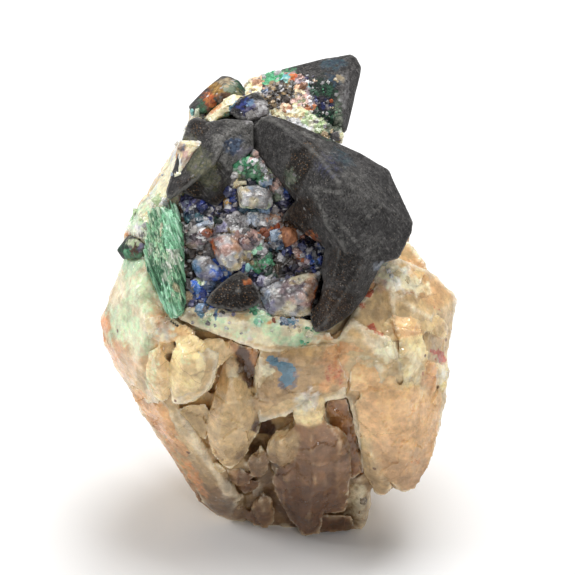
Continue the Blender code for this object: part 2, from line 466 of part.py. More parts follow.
def new_collection(name):
    collection = bpy.data.collections.new(name)
    bpy.context.scene.collection.children.link(collection)
    return collection


def finish(name):
    """The named surface as a Principled material."""
    material = bpy.data.materials.get(name)
    if material:
        return material
    colour, roughness, metallic = FINISHES[name]
    material = bpy.data.materials.new(name)
    material.use_nodes = True
    shader = material.node_tree.nodes["Principled BSDF"]
    shader.inputs["Base Color"].default_value = (*colour, 1.0)
    shader.inputs["Roughness"].default_value = roughness
    shader.inputs["Metallic"].default_value = metallic
    return material


def convex_object(name, corners, collection, face_frame, grow=0.0):
    """The convex solid between the corners, with its faces moved out by grow millimetres."""
    middle = sum(corners, Vector()) / len(corners)
    mesh = bpy.data.meshes.new(name)
    shape = bmesh.new()
    for corner in corners:
        shape.verts.new((corner - middle) * MM)
    hull = bmesh.ops.convex_hull(shape, input=shape.verts)
    loose = hull["geom_interior"] + hull["geom_unused"]
    inside = {item for item in loose if isinstance(item, bmesh.types.BMVert)}
    bmesh.ops.delete(shape, geom=list(inside), context="VERTS")
    bmesh.ops.recalc_face_normals(shape, faces=shape.faces)
    if grow:
        moves = [vert.normal * vert.calc_shell_factor() * grow * MM for vert in shape.verts]
        for vert, move in zip(shape.verts, moves):
            vert.co += move
    shape.to_mesh(mesh)
    shape.free()
    item = bpy.data.objects.new(name, mesh)
    item.location = middle * MM
    item.parent = face_frame
    collection.objects.link(item)
    return item


def hide(item):
    item.hide_render = True
    item.display_type = "WIRE"


def boolean(item, operation, operand):
    """Join or cut the object with another object or with all of a collection."""
    modifier = item.modifiers.new(operation.lower(), "BOOLEAN")
    modifier.operation = operation
    modifier.solver = "EXACT"
    if isinstance(operand, bpy.types.Collection):
        modifier.operand_type = "COLLECTION"
        modifier.collection = operand
    else:
        modifier.object = operand


def crystal_node(name, shapes, stage):
    """A node of one crystal or a few grown together, and its socket in the stone."""
    node = convex_object(name, shapes[0], stage["parts"], stage["frame"])
    node.data.materials.append(finish(NODE_FINISHES.get(name, "cuprite")))
    hide(convex_object(f"{name}_socket", shapes[0], stage["sockets"], stage["frame"], GAP))
    for number, shape in enumerate(shapes[1:], start=2):
        twin = convex_object(f"{name}_twin_{number}", shape, stage["cutters"], stage["frame"])
        hide(twin)
        boolean(node, "UNION", twin)
        hide(convex_object(f"{name}_socket_{number}", shape, stage["sockets"], stage["frame"], GAP))


def crust_node(stage):
    """The crust that lines the pocket: a bed with knots fused to it, cut where the crystals stand."""
    generator = random.Random(CRUST_SEED)
    node = convex_object("azurite_malachite_crust", CRUST_BED, stage["parts"], stage["frame"])
    node.data.materials.append(finish("crust"))
    hide(convex_object("crust_bed_socket", CRUST_BED, stage["crust_sockets"], stage["frame"], GAP))
    number = 0
    for places in CRUST_KNOTS.values():
        for u, v, w, size in places:
            number += 1
            corners = [Vector((u, v, w)) + way * size for way in uneven_ball(KNOT_CORNERS, generator)]
            hide(convex_object(f"knot_{number}", corners, stage["knots"], stage["frame"]))
            hide(convex_object(f"knot_{number}_socket", corners, stage["crust_sockets"], stage["frame"], GAP))
    boolean(node, "UNION", stage["knots"])
    boolean(node, "DIFFERENCE", stage["sockets"])


def table_cutter(stage):
    """A block under the table's plane: it cuts the specimen's flat underside."""
    edge = TABLE_BLOCK * MM
    bpy.ops.mesh.primitive_cube_add(size=edge, location=(0.0, 0.0, -edge / 2))
    block = bpy.context.object
    block.name = "table_cutter"
    for collection in list(block.users_collection):
        collection.objects.unlink(block)
    stage["cutters"].objects.link(block)
    hide(block)
    return block


def quartz_node(stage):
    """The quartz: its crystals fused to the core, cut flat below and for everything set in it."""
    node = convex_object("quartz_matrix", QUARTZ_CORE, stage["parts"], stage["frame"])
    node.data.materials.append(finish("quartz"))
    for name, corners in QUARTZ_PIECES.items():
        hide(convex_object(name, corners, stage["quartz"], stage["frame"]))
    generator = random.Random(CHUNK_SEED)
    for number, (place, reach, turn) in enumerate(BACK_CHUNKS, start=1):
        corners = chunk(place, reach, turn, generator)
        hide(convex_object(f"chunk_{number}", corners, stage["quartz"], stage["frame"]))
    boolean(node, "UNION", stage["quartz"])
    boolean(node, "DIFFERENCE", table_cutter(stage))
    boolean(node, "DIFFERENCE", stage["sockets"])
    boolean(node, "DIFFERENCE", stage["crust_sockets"])


def main():
    clear_scene()
    stage = {
        "parts": new_collection(SPECIMEN_NAME),
        "cutters": new_collection("cutters"),
        "sockets": new_collection("sockets"),
        "crust_sockets": new_collection("crust_sockets"),
        "knots": new_collection("knots"),
        "quartz": new_collection("quartz_pieces"),
    }
    face_frame = bpy.data.objects.new("face_frame", None)
    face_frame.location = Vector((CENTRING[0], CENTRING[1], FACE_HEIGHT)) * MM
    face_frame.rotation_euler = (math.radians(FACE_LEAN), 0.0, 0.0)
    stage["cutters"].objects.link(face_frame)
    stage["frame"] = face_frame
    for name, shapes in CRYSTALS.items():
        crystal_node(name, shapes, stage)
    crust_node(stage)
    quartz_node(stage)


main()
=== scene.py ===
"""Looks of a cuprite specimen: tarnished cuprite crystals and a sheaf of malachite round a pocket lined with
azurite, malachite, quartz and iron oxide, on broken milky quartz.

Places marked (u, v, w) are millimetres in the frame of the crystal face: u right along the face, v up along
it, w out of it. Everything else is in metres in the specimen's own frame, +Z up.
"""

import itertools
import math
import random

import bmesh
import bpy
import numpy as np
from mathutils import Matrix, Vector
from mathutils.bvhtree import BVHTree


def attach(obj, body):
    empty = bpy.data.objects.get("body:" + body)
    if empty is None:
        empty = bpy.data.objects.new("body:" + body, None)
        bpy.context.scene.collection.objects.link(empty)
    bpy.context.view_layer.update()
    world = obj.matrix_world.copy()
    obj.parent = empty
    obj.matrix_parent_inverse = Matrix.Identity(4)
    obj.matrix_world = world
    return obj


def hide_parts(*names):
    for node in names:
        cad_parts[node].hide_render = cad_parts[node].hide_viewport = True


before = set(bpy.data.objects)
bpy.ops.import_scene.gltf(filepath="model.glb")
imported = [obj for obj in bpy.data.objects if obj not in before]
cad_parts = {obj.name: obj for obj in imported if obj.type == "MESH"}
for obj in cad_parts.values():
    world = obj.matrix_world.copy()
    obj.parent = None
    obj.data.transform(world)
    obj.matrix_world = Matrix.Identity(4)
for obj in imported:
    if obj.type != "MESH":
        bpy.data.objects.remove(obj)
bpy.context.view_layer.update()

bl_info = {
    "name": "Cuprite specimen",
    "version": (1, 0, 0),
    "blender": (4, 5, 0),
    "location": "3D View > Sidebar > Specimen",
    "description": "Builds a cuprite, malachite and azurite specimen on quartz",
    "category": "Object",
}

MM = 0.001
FACE_LEAN = math.radians(54.0)
FACE_ORIGIN = Vector((1.7, -1.75, 33.5)) * MM
FACE_AXES = Matrix.Rotation(FACE_LEAN, 3, "X")
OUT_OF_FACE = FACE_AXES.col[2].copy()
ROOT = "root"
FAR = 1e9
# A mark is worked out this far out of its oval, and a patch reaches this many millimetres past its own.
MARK_LIMIT = 2.0
PATCH_MARGIN = 0.2
PATCH_PARTS = 7


# Places ----------------------------------------------------------------------------------------------

def on_face(u, v, w):
    """Place in the specimen's frame, in metres, of a point of the face frame in millimetres."""
    return FACE_ORIGIN + FACE_AXES @ (Vector((u, v, w)) * MM)


def to_face(places):
    """Face-frame millimetres (n, 3) of places in metres."""
    return (places - np.array(FACE_ORIGIN)) @ np.array(FACE_AXES) / MM


def step_up(values, low, high):
    """Smooth rise from 0 at low to 1 at high."""
    part = np.clip((values - low) / (high - low), 0.0, 1.0)
    return part * part * (3.0 - 2.0 * part)


def facing(normals, low, high):
    """How far each normal turns to the crystal face's side, as a smooth rise."""
    return step_up(normals @ np.array(FACE_AXES.col[2]), low, high)


def oval_reach(face, u, v, wide, high, turn):
    """How far out of a turned oval on the crystal face each place is: 0 in its middle, 1 on its rim."""
    angle = math.radians(turn)
    across = face[:, 0] - u
    along = face[:, 1] - v
    part_u = (across * math.cos(angle) + along * math.sin(angle)) / wide
    part_v = (along * math.cos(angle) - across * math.sin(angle)) / high
    return np.hypot(part_u, part_v)


def turned(patches):
    """Patches, with a turn of 0 degrees where none is given."""
    return [patch if len(patch) == PATCH_PARTS else (*patch, 0) for patch in patches]


# Noise over points in millimetres --------------------------------------------------------------------

def lattice(cells, seed):
    """A fixed number from 0 to 1 for each whole-number cell (n, 3)."""
    x, y, z = (cells[:, axis].astype(np.int64).astype(np.uint32) for axis in range(3))
    mixed = (x * np.uint32(0x9E3779B1)) ^ (y * np.uint32(0x85EBCA77)) ^ (z * np.uint32(0xC2B2AE3D))
    mixed = mixed ^ np.uint32(seed * 668265263 % 4294967296)
    mixed = (mixed ^ (mixed >> np.uint32(15))) * np.uint32(0x2C1B3C6D)
    mixed = (mixed ^ (mixed >> np.uint32(12))) * np.uint32(0x297A2D39)
    return (mixed ^ (mixed >> np.uint32(15))) / 4294967296.0


def clouds(points, cell, seed):
    """Smooth noise from -1 to 1 with features of the given size."""
    scaled = points / cell
    base = np.floor(scaled)
    part = scaled - base
    ease = part * part * (3.0 - 2.0 * part)
    total = np.zeros(len(points))
    for corner in itertools.product((0, 1), repeat=3):
        weight = np.prod(np.where(corner, ease, 1.0 - ease), axis=1)
        total += weight * lattice(base + corner, seed)
    return total * 2.0 - 1.0


def rough_clouds(points, cell, seed, octaves=3):
    """Clouds with finer clouds on them."""
    total = sum(clouds(points, cell / 2 ** level, seed + level) / 2 ** level for level in range(octaves))
    return total / (2.0 - 2.0 ** (1 - octaves))


def nearest_seeds(points, cell, seed):
    """Of seeds scattered one to a cell: distances to the nearest two, the nearest one's offset and cell."""
    scaled = points / cell
    base = np.floor(scaled)
    first = np.full(len(points), 9.0)
    second = np.full(len(points), 9.0)
    offset = np.zeros((len(points), 3))
    home = np.zeros((len(points), 3))
    for step in itertools.product((-1, 0, 1), repeat=3):
        at = base + step
        jitter = np.stack([lattice(at, seed + axis) for axis in range(3)], axis=1)
        way = scaled - at - jitter
        distance = np.linalg.norm(way, axis=1)
        nearer = distance < first
        second = np.where(nearer, first, np.minimum(second, distance))
        first = np.where(nearer, distance, first)
        offset[nearer] = way[nearer]
        home[nearer] = at[nearer]
    return first, second, offset, home


def scoops(points, cell, seed):
    """Shallow bowls that meet in sharp ridges, as where quartz breaks: 0 in a bowl, about 1 on a ridge."""
    first = nearest_seeds(points, cell, seed)[0]
    return np.minimum(first * first * 1.6, 1.4)


def ledges(points, cell, seed, tilt=0.8):
    """Flat tilted facets with steps between them, from about -1 to 1."""
    _, _, offset, home = nearest_seeds(points, cell, seed)
    slope = np.stack([lattice(home, seed + 11 + axis) - 0.5 for axis in range(3)], axis=1)
    return lattice(home, seed + 20) * 2.0 - 1.0 + tilt * 2.0 * np.sum(slope * offset, axis=1)


# Meshes ----------------------------------------------------------------------------------------------

def new_object(name, mesh, material):
    """An object on the specimen's one body, with the given material."""
    item = bpy.data.objects.new(name, mesh)
    bpy.context.scene.collection.objects.link(item)
    mesh.materials.clear()
    mesh.materials.append(material)
    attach(item, ROOT)
    return item


def fine_copy(node, grain):
    """A closed mesh of even small faces over a CAD node."""
    return even_faces(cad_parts[node].data.copy(), node, grain)


def even_faces(mesh, name, grain):
    """Turns a mesh of closed forms, which may overlap, into one of even small faces."""
    item = bpy.data.objects.new(f"{name}_fine", mesh)
    bpy.context.scene.collection.objects.link(item)
    remesh = item.modifiers.new("even faces", "REMESH")
    remesh.mode = "VOXEL"
    remesh.voxel_size = grain
    graph = bpy.context.evaluated_depsgraph_get()
    fine = bpy.data.meshes.new_from_object(item.evaluated_get(graph))
    bpy.data.objects.remove(item, do_unlink=True)
    bpy.data.meshes.remove(mesh)
    fine.name = name
    return fine


def places_of(mesh):
    flat = np.empty(len(mesh.vertices) * 3, dtype=np.float32)
    mesh.vertices.foreach_get("co", flat)
    return flat.reshape(-1, 3).astype(np.float64)


def normals_of(mesh):
    flat = np.empty(len(mesh.vertices) * 3, dtype=np.float32)
    mesh.vertices.foreach_get("normal", flat)
    return flat.reshape(-1, 3).astype(np.float64)


def put_places(mesh, places):
    mesh.vertices.foreach_set("co", places.astype(np.float32).ravel())
    mesh.update()


def surface_of(mesh):
    """The vertices' places in metres, their normals, and their places in the face frame."""
    places = places_of(mesh)
    return places, normals_of(mesh), to_face(places)


def pushed(places, normals, lift):
    """Places moved along their normals by some millimetres."""
    return places + normals * (lift * MM)[:, None]


def tree_of(*meshes):
    """A search tree over the faces of some meshes."""
    corners = []
    faces = []
    for mesh in meshes:
        first = len(corners)
        corners += [corner.co[:] for corner in mesh.vertices]
        faces += [[first + index for index in face.vertices] for face in mesh.polygons]
    return BVHTree.FromPolygons(corners, faces)


def neighbour_pairs(mesh):
    pairs = np.empty(len(mesh.edges) * 2, dtype=np.int64)
    mesh.edges.foreach_get("vertices", pairs)
    return pairs.reshape(-1, 2)


def averaged(values, pairs, rounds):
    """Values (n, k) smoothed over the mesh's edges."""
    count = np.bincount(pairs.ravel(), minlength=len(values))[:, None]
    for _ in range(rounds):
        total = np.zeros_like(values)
        for axis in range(values.shape[1]):
            total[:, axis] = (np.bincount(pairs[:, 0], values[pairs[:, 1], axis], len(values))
                              + np.bincount(pairs[:, 1], values[pairs[:, 0], axis], len(values)))
        values = 0.5 * values + 0.5 * total / np.maximum(count, 1)
    return values


def standing_proud(mesh, rounds):
    """How far each vertex stands out of its smoothed surroundings, in millimetres: edges +, recesses -."""
    places = places_of(mesh)
    smooth = averaged(places, neighbour_pairs(mesh), rounds)
    return np.sum((places - smooth) * normals_of(mesh), axis=1) / MM


def store_masks(mesh, name, masks):
    """Up to four masks from 0 to 1 in one colour attribute."""
    values = np.zeros((len(mesh.vertices), 4), dtype=np.float32)
    for channel, mask in enumerate(masks):
        values[:, channel] = np.clip(mask, 0.0, 1.0)
    layer = mesh.attributes.new(name, "FLOAT_COLOR", "POINT")
    layer.data.foreach_set("color", values.ravel())


def store_colour(mesh, colours):
    values = np.ones((len(mesh.vertices), 4), dtype=np.float32)
    values[:, :3] = np.clip(colours, 0.0, 1.0)
    layer = mesh.attributes.get("body") or mesh.attributes.new("body", "FLOAT_COLOR", "POINT")
    layer.data.foreach_set("color", values.ravel())


def colours_of(mesh):
    flat = np.empty(len(mesh.vertices) * 4, dtype=np.float32)
    mesh.attributes["body"].data.foreach_get("color", flat)
    return flat.reshape(-1, 4)[:, :3].astype(np.float64)


def marked(face, marks, ragged=0.45, seed=900):
    """Mask of a list of marks on the crystal face: (u, v, half width, half height, turn, strength)."""
    mask = np.zeros(len(face))
    for number, (u, v, wide, high, turn, strength) in enumerate(marks):
        reach = oval_reach(face, u, v, wide, high, turn)
        close = reach < MARK_LIMIT
        if not close.any():
            continue
        blur = ragged * clouds(face[close], max(0.5, 0.7 * min(wide, high)), seed + number)
        cover = strength * (1.0 - step_up(reach[close] + blur, 0.7, 1.15))
        mask[close] = np.maximum(mask[close], cover)
    return mask


# Shader nodes ----------------------------------------------------------------------------------------

class Graph:
    """Short calls for adding nodes to a material or a node group."""

    def __init__(self, tree):
        self.tree = tree

    def add(self, kind, sockets=None, **settings):
        node = self.tree.nodes.new(kind)
        for name, value in settings.items():
            setattr(node, name, value)
        for name, value in (sockets or {}).items():
            if isinstance(value, bpy.types.NodeSocket):
                self.tree.links.new(value, node.inputs[name])
            else:
                node.inputs[name].default_value = value
        return node

    def math(self, operation, first, second=0.0, third=0.0):
        values = {0: first, 1: second, 2: third}
        return self.add("ShaderNodeMath", values, operation=operation).outputs[0]

    def rise(self, value, low, high):
        """Smooth rise from 0 at low to 1 at high."""
        node = self.add("ShaderNodeMapRange", {"Value": value, "From Min": low, "From Max": high})
        node.interpolation_type = "SMOOTHSTEP"
        return node.outputs[0]

    def blend(self, amount, first, second, kind="MIX"):
        node = self.add("ShaderNodeMix", data_type="RGBA", blend_type=kind)
        for index, value in ((0, amount), (6, first), (7, second)):
            if isinstance(value, bpy.types.NodeSocket):
                self.tree.links.new(value, node.inputs[index])
            elif index == 0:
                node.inputs[index].default_value = value
            else:
                node.inputs[index].default_value = (*value, 1.0)
        return node.outputs[2]

    def vector(self, operation, first, second):
        return self.add("ShaderNodeVectorMath", {0: first, 1: second}, operation=operation).outputs[0]

    def scaled(self, vector, scale):
        return self.add("ShaderNodeVectorMath", {0: vector, "Scale": scale}, operation="SCALE").outputs[0]

    def noise(self, place, scale, output=0, **sockets):
        sockets = {"Vector": place, "Scale": scale, **sockets}
        return self.add("ShaderNodeTexNoise", sockets).outputs[output]

    def warped(self, place, size, scale, detail):
        """The place, pushed about by clouds of the given size."""
        bent = self.vector("SUBTRACT", self.noise(place, scale, 1, Detail=detail), (0.5, 0.5, 0.5))
        return self.vector("ADD", place, self.scaled(bent, size))

    def place(self):
        """The surface's place in millimetres."""
        return self.scaled(self.add("ShaderNodeTexCoord").outputs["Object"], 1.0 / MM)

    def painted(self):
        """The colour stored on the surface."""
        return self.add("ShaderNodeAttribute", attribute_name="body").outputs["Color"]

    def dimmed(self, body, light):
        """The colour multiplied by a value."""
        grey = self.add("ShaderNodeCombineColor", {0: light, 1: light, 2: light}).outputs[0]
        return self.blend(1.0, body, grey, "MULTIPLY")

    def masks(self, name):
        """The four masks of a colour attribute."""
        source = self.add("ShaderNodeAttribute", attribute_name=name)
        parts = self.add("ShaderNodeSeparateColor", {0: source.outputs["Color"]})
        return [*parts.outputs, source.outputs["Alpha"]]

    def group(self, name, place, **sockets):
        node = self.add("ShaderNodeGroup", node_tree=bpy.data.node_groups[name])
        for key, value in {"Place": place, **sockets}.items():
            target = node.inputs[key.replace("_", " ")]
            if isinstance(value, bpy.types.NodeSocket):
                self.tree.links.new(value, target)
            else:
                target.default_value = value
        return node.outputs[0]


def new_group(name, output, **inputs):
    """A node group that takes a place and named numbers: its graph, its inputs, a call to set its output."""
    tree = bpy.data.node_groups.new(name, "ShaderNodeTree")
    tree.interface.new_socket("Place", in_out="INPUT", socket_type="NodeSocketVector")
    for label, default in inputs.items():
        socket = tree.interface.new_socket(label, in_out="INPUT", socket_type="NodeSocketFloat")
        socket.default_value = default
    tree.interface.new_socket(output, in_out="OUTPUT", socket_type="NodeSocketFloat")
    graph = Graph(tree)
    entry = graph.add("NodeGroupInput")
    leave = graph.add("NodeGroupOutput")

    def put(value):
        tree.links.new(value, leave.inputs[0])

    return graph, entry.outputs, put


def build_groups():
    """The effects that several materials share."""
    graph, given, put = new_group("mottle", "Value", Size=1.0, Detail=3.0, Contrast=1.0)
    scale = graph.math("DIVIDE", 1.0, given["Size"])
    cloud = graph.noise(given["Place"], scale, Detail=given["Detail"], Roughness=0.6)
    centred = graph.math("MULTIPLY", graph.math("SUBTRACT", cloud, 0.5), given["Contrast"])
    put(graph.add("ShaderNodeClamp", {0: graph.math("ADD", centred, 0.5)}).outputs[0])

    graph, given, put = new_group("ragged", "Mask", Mask=0.0, Size=0.5, Raggedness=0.6, Softness=0.3)
    scale = graph.math("DIVIDE", 1.0, given["Size"])
    cloud = graph.noise(given["Place"], scale, Detail=4.0, Roughness=0.65)
    pushed_out = graph.math("MULTIPLY", graph.math("SUBTRACT", cloud, 0.5), given["Raggedness"])
    present = graph.math("MULTIPLY", graph.rise(given["Mask"], 0.0, 0.3), 2.0)
    uneven = graph.math("ADD", given["Mask"], graph.math("MULTIPLY", pushed_out, present))
    low = graph.math("SUBTRACT", 0.5, given["Softness"])
    high = graph.math("ADD", 0.5, given["Softness"])
    put(graph.rise(uneven, low, high))

    graph, given, put = new_group("specks", "Mask", Size=0.5, Share=0.2)
    scale = graph.math("DIVIDE", 1.0, given["Size"])
    cells = graph.add("ShaderNodeTexVoronoi", {"Vector": given["Place"], "Scale": scale, "Randomness": 1.0})
    parts = graph.add("ShaderNodeSeparateColor", {0: cells.outputs["Color"]})
    chosen = graph.math("LESS_THAN", parts.outputs[0], given["Share"])
    near = graph.math("SUBTRACT", 1.0, graph.rise(cells.outputs["Distance"], 0.22, 0.42))
    put(graph.math("MULTIPLY", chosen, near))

    graph, given, put = new_group("fissures", "Mask", Size=4.0, Width=0.02)
    scale = graph.math("DIVIDE", 1.0, given["Size"])
    bent = graph.warped(given["Place"], given["Size"], scale, 4.0)
    edges = graph.add("ShaderNodeTexVoronoi", {"Vector": bent, "Scale": scale}, feature="DISTANCE_TO_EDGE")
    line = graph.math("SUBTRACT", 1.0, graph.rise(edges.outputs["Distance"], 0.0, given["Width"]))
    breaks = graph.noise(given["Place"], scale, Detail=2.0)
    put(graph.math("MULTIPLY", line, graph.rise(breaks, 0.46, 0.6)))

    graph, given, put = new_group("planes", "Value", Size=2.0)
    scale = graph.math("DIVIDE", 1.0, given["Size"])
    bent = graph.warped(given["Place"], given["Size"], scale, 3.0)
    cells = graph.add("ShaderNodeTexVoronoi", {"Vector": bent, "Scale": scale})
    parts = graph.add("ShaderNodeSeparateColor", {0: cells.outputs["Color"]})
    fade = graph.math("MULTIPLY", cells.outputs["Distance"], 0.5)
    put(graph.math("SUBTRACT", graph.math("ADD", parts.outputs[0], 0.2), fade))

    graph, given, put = new_group("streaks", "Value", Across=0.3, Along=4.0, Turn=0.0)
    spun = graph.add("ShaderNodeVectorRotate", {"Vector": given["Place"], "Angle": given["Turn"]},
                     rotation_type="Y_AXIS").outputs[0]
    across = graph.math("DIVIDE", 1.0, given["Across"])
    along = graph.math("DIVIDE", 1.0, given["Along"])
    shape = graph.add("ShaderNodeCombineXYZ", {0: across, 1: across, 2: along}).outputs[0]
    put(graph.noise(graph.vector("MULTIPLY", spun, shape), 1.0, Detail=4.0, Roughness=0.6))


def new_material(name, **sockets):
    """A material with one Principled shader, whose plain values are set here: (material, graph, shader)."""
    material = bpy.data.materials.new(name)
    material.use_nodes = True
    shader = material.node_tree.nodes["Principled BSDF"]
    for key, value in sockets.items():
        shader.inputs[key.replace("_", " ")].default_value = value
    return material, Graph(material.node_tree), shader


def feed(graph, shader, colour, roughness, height, depth_mm, coat=None):
    """Joins the worked-out colour, roughness and relief to the shader."""
    graph.tree.links.new(colour, shader.inputs["Base Color"])
    graph.tree.links.new(roughness, shader.inputs["Roughness"])
    if coat is not None:
        graph.tree.links.new(coat, shader.inputs["Coat Weight"])
    bump = graph.add("ShaderNodeBump", {"Strength": 1.0, "Distance": depth_mm * MM, "Height": height})
    graph.tree.links.new(bump.outputs[0], shader.inputs["Normal"])


# Settings --------------------------------------------------------------------------------------------

def length(name, description, millimetres):
    return bpy.props.FloatProperty(name=name, description=description, default=millimetres * MM,
                                   unit="LENGTH", precision=5)


def colour(name, description, value):
    return bpy.props.FloatVectorProperty(name=name, description=description, default=value,
                                         subtype="COLOR", min=0.0, max=1.0)


class QuartzSettings(bpy.types.PropertyGroup):
    grain: length("Face size", "Edge length of the body's faces", 0.42)
    front_grain: length("Front face size", "Edge length of the front crystals' faces", 0.3)
    scoop_width: length("Scoop width", "Width of the conchoidal scoops", 3.4)
    scoop_depth: length("Scoop depth", "Depth of the conchoidal scoops at the back", 0.55)
    ledge_width: length("Ledge width", "Width of the small broken facets", 1.9)
    ledge_height: length("Ledge height", "Height of the steps between them", 0.24)
    ivory: colour("Ivory", "Bright, nearly opaque quartz", (0.92, 0.69, 0.35))
    pale: colour("Pale", "Light greyish quartz", (0.78, 0.55, 0.28))
    milky: colour("Milky", "Clean milky quartz", (0.61, 0.42, 0.20))
    tan: colour("Tan", "Greyish quartz", (0.46, 0.29, 0.125))
    brown: colour("Brown", "Brownish quartz", (0.29, 0.135, 0.046))
    # Painted shade: the brown of quartz darkened in recesses and gaps.
    recess_shade: colour("Umber", "Brown quartz seen through clear quartz", (0.48, 0.22, 0.068))
    apricot: colour("Apricot", "Lightly tinted quartz", (0.84, 0.51, 0.24))
    peach: colour("Peach", "Quartz tinted by fine iron oxide", (0.70, 0.37, 0.155))
    # Painted shade: the colour of quartz darkened in recesses, gaps and toward the foot.
    painted_shade: colour("Smoky", "Shadowy quartz in recesses", (0.085, 0.030, 0.006))
    frost: colour("Frost", "White quartz with a cool cast", (0.74, 0.74, 0.66))
    cream: colour("Cream", "Opaque cream crust", (0.84, 0.74, 0.48))
    # Painted highlight laid along the edges that stand proud.
    rim: colour("Rim", "Light along broken edges", (0.92, 0.82, 0.62))
    rust: colour("Rust", "Orange iron stain", (0.62, 0.24, 0.07))
    red: colour("Red", "Red iron stain", (0.50, 0.10, 0.04))
    mint: colour("Mint", "Copper stain", (0.30, 0.62, 0.34))
    pale_mint: colour("Pale mint", "Thin copper stain", (0.74, 0.82, 0.54))
    blue: colour("Blue", "Azurite film", (0.11, 0.22, 0.29))
    # Painted shadow: dark lines and patches in crevices and under ledges.
    dark: colour("Dark", "Dark oxide film", (0.035, 0.030, 0.026))
    crack: colour("Crack", "Fissures", (0.25, 0.11, 0.05))
    speck: colour("Speck", "Small dark grains", (0.16, 0.07, 0.03))


class CupriteSettings(bpy.types.PropertyGroup):
    grain: length("Face size", "Edge length of the surface's faces", 0.18)
    swell: length("Swell", "How far the crystals grow to meet the stone", 0.26)
    terrace: length("Terraces", "Height of the growth terraces", 0.03)
    chip: length("Chips", "Depth of the chips along the edges", 0.14)
    notch: length("Notch", "How far the foot draws back from the pocket", 0.7)
    grey: colour("Grey", "Tarnished face", (0.060, 0.057, 0.056))
    black: colour("Black", "Darker patches", (0.030, 0.028, 0.028))
    # Painted shade: the dark brown of the shaded faces.
    brown: colour("Brown", "Brown dust in dark places", (0.012, 0.008, 0.006))
    # Light grey for the growth lines, and painted light on the lit faces.
    tarnish_and_painted_light: colour("Haze", "Light grey tarnish", (0.17, 0.165, 0.155))
    # Painted highlight along the ridges.
    edge: colour("Edge", "Worn edges", (0.17, 0.165, 0.155))
    # Painted glints.
    glitter: colour("Glitter", "Bright specks", (0.17, 0.15, 0.13))
    # Warm specks, set only inside the painted shade.
    golden: colour("Golden", "Warm specks in dark places", (0.20, 0.11, 0.05))


class MalachiteSettings(bpy.types.PropertyGroup):
    grain: length("Face size", "Edge length of the sheaf's faces", 0.14)
    relief: length("Relief", "Height of the ridges between bundles of fibres", 0.13)
    strands: bpy.props.IntProperty(name="Strands", description="Number of loose fibres", default=420)


class DruseSettings(bpy.types.PropertyGroup):
    grain: length("Face size", "Edge length of the bed's faces", 0.17)
    bed_grain: length("Grain size", "Width of the grains that the bed is broken into", 0.5)
    rise: length("Rise", "How far the bed fills the pocket", 0.45)
    crowding: bpy.props.FloatProperty(name="Crowding", description="How many grains grow in each place",
                                      default=0.6, min=0.1, max=3.0)


class StageSettings(bpy.types.PropertyGroup):
    distance: bpy.props.FloatProperty(name="Camera distance", description="From the face frame's origin",
                                      default=2.4, unit="LENGTH")
    elevation: bpy.props.FloatProperty(name="Elevation", description="How far the camera looks down",
                                       default=math.radians(36.0), subtype="ANGLE")
    per_pixel: length("Scale", "Width that one of 575 pixels across covers", 0.14)
    floor: colour("Floor", "Pale floor", (0.86, 0.86, 0.86))
    floor_reach: length("Floor reach", "Half the floor's width", 6000.0)


class SpecimenSettings(bpy.types.PropertyGroup):
    quartz: bpy.props.PointerProperty(type=QuartzSettings)
    cuprite: bpy.props.PointerProperty(type=CupriteSettings)
    malachite: bpy.props.PointerProperty(type=MalachiteSettings)
    druse: bpy.props.PointerProperty(type=DruseSettings)
    stage: bpy.props.PointerProperty(type=StageSettings)


# Crystals built one by one ---------------------------------------------------------------------------

def display(red, green, blue):
    """Linear colour of a display colour whose parts run from 0 to 255."""
    return tuple((part / 255.0) ** 2.2 for part in (red, green, blue))


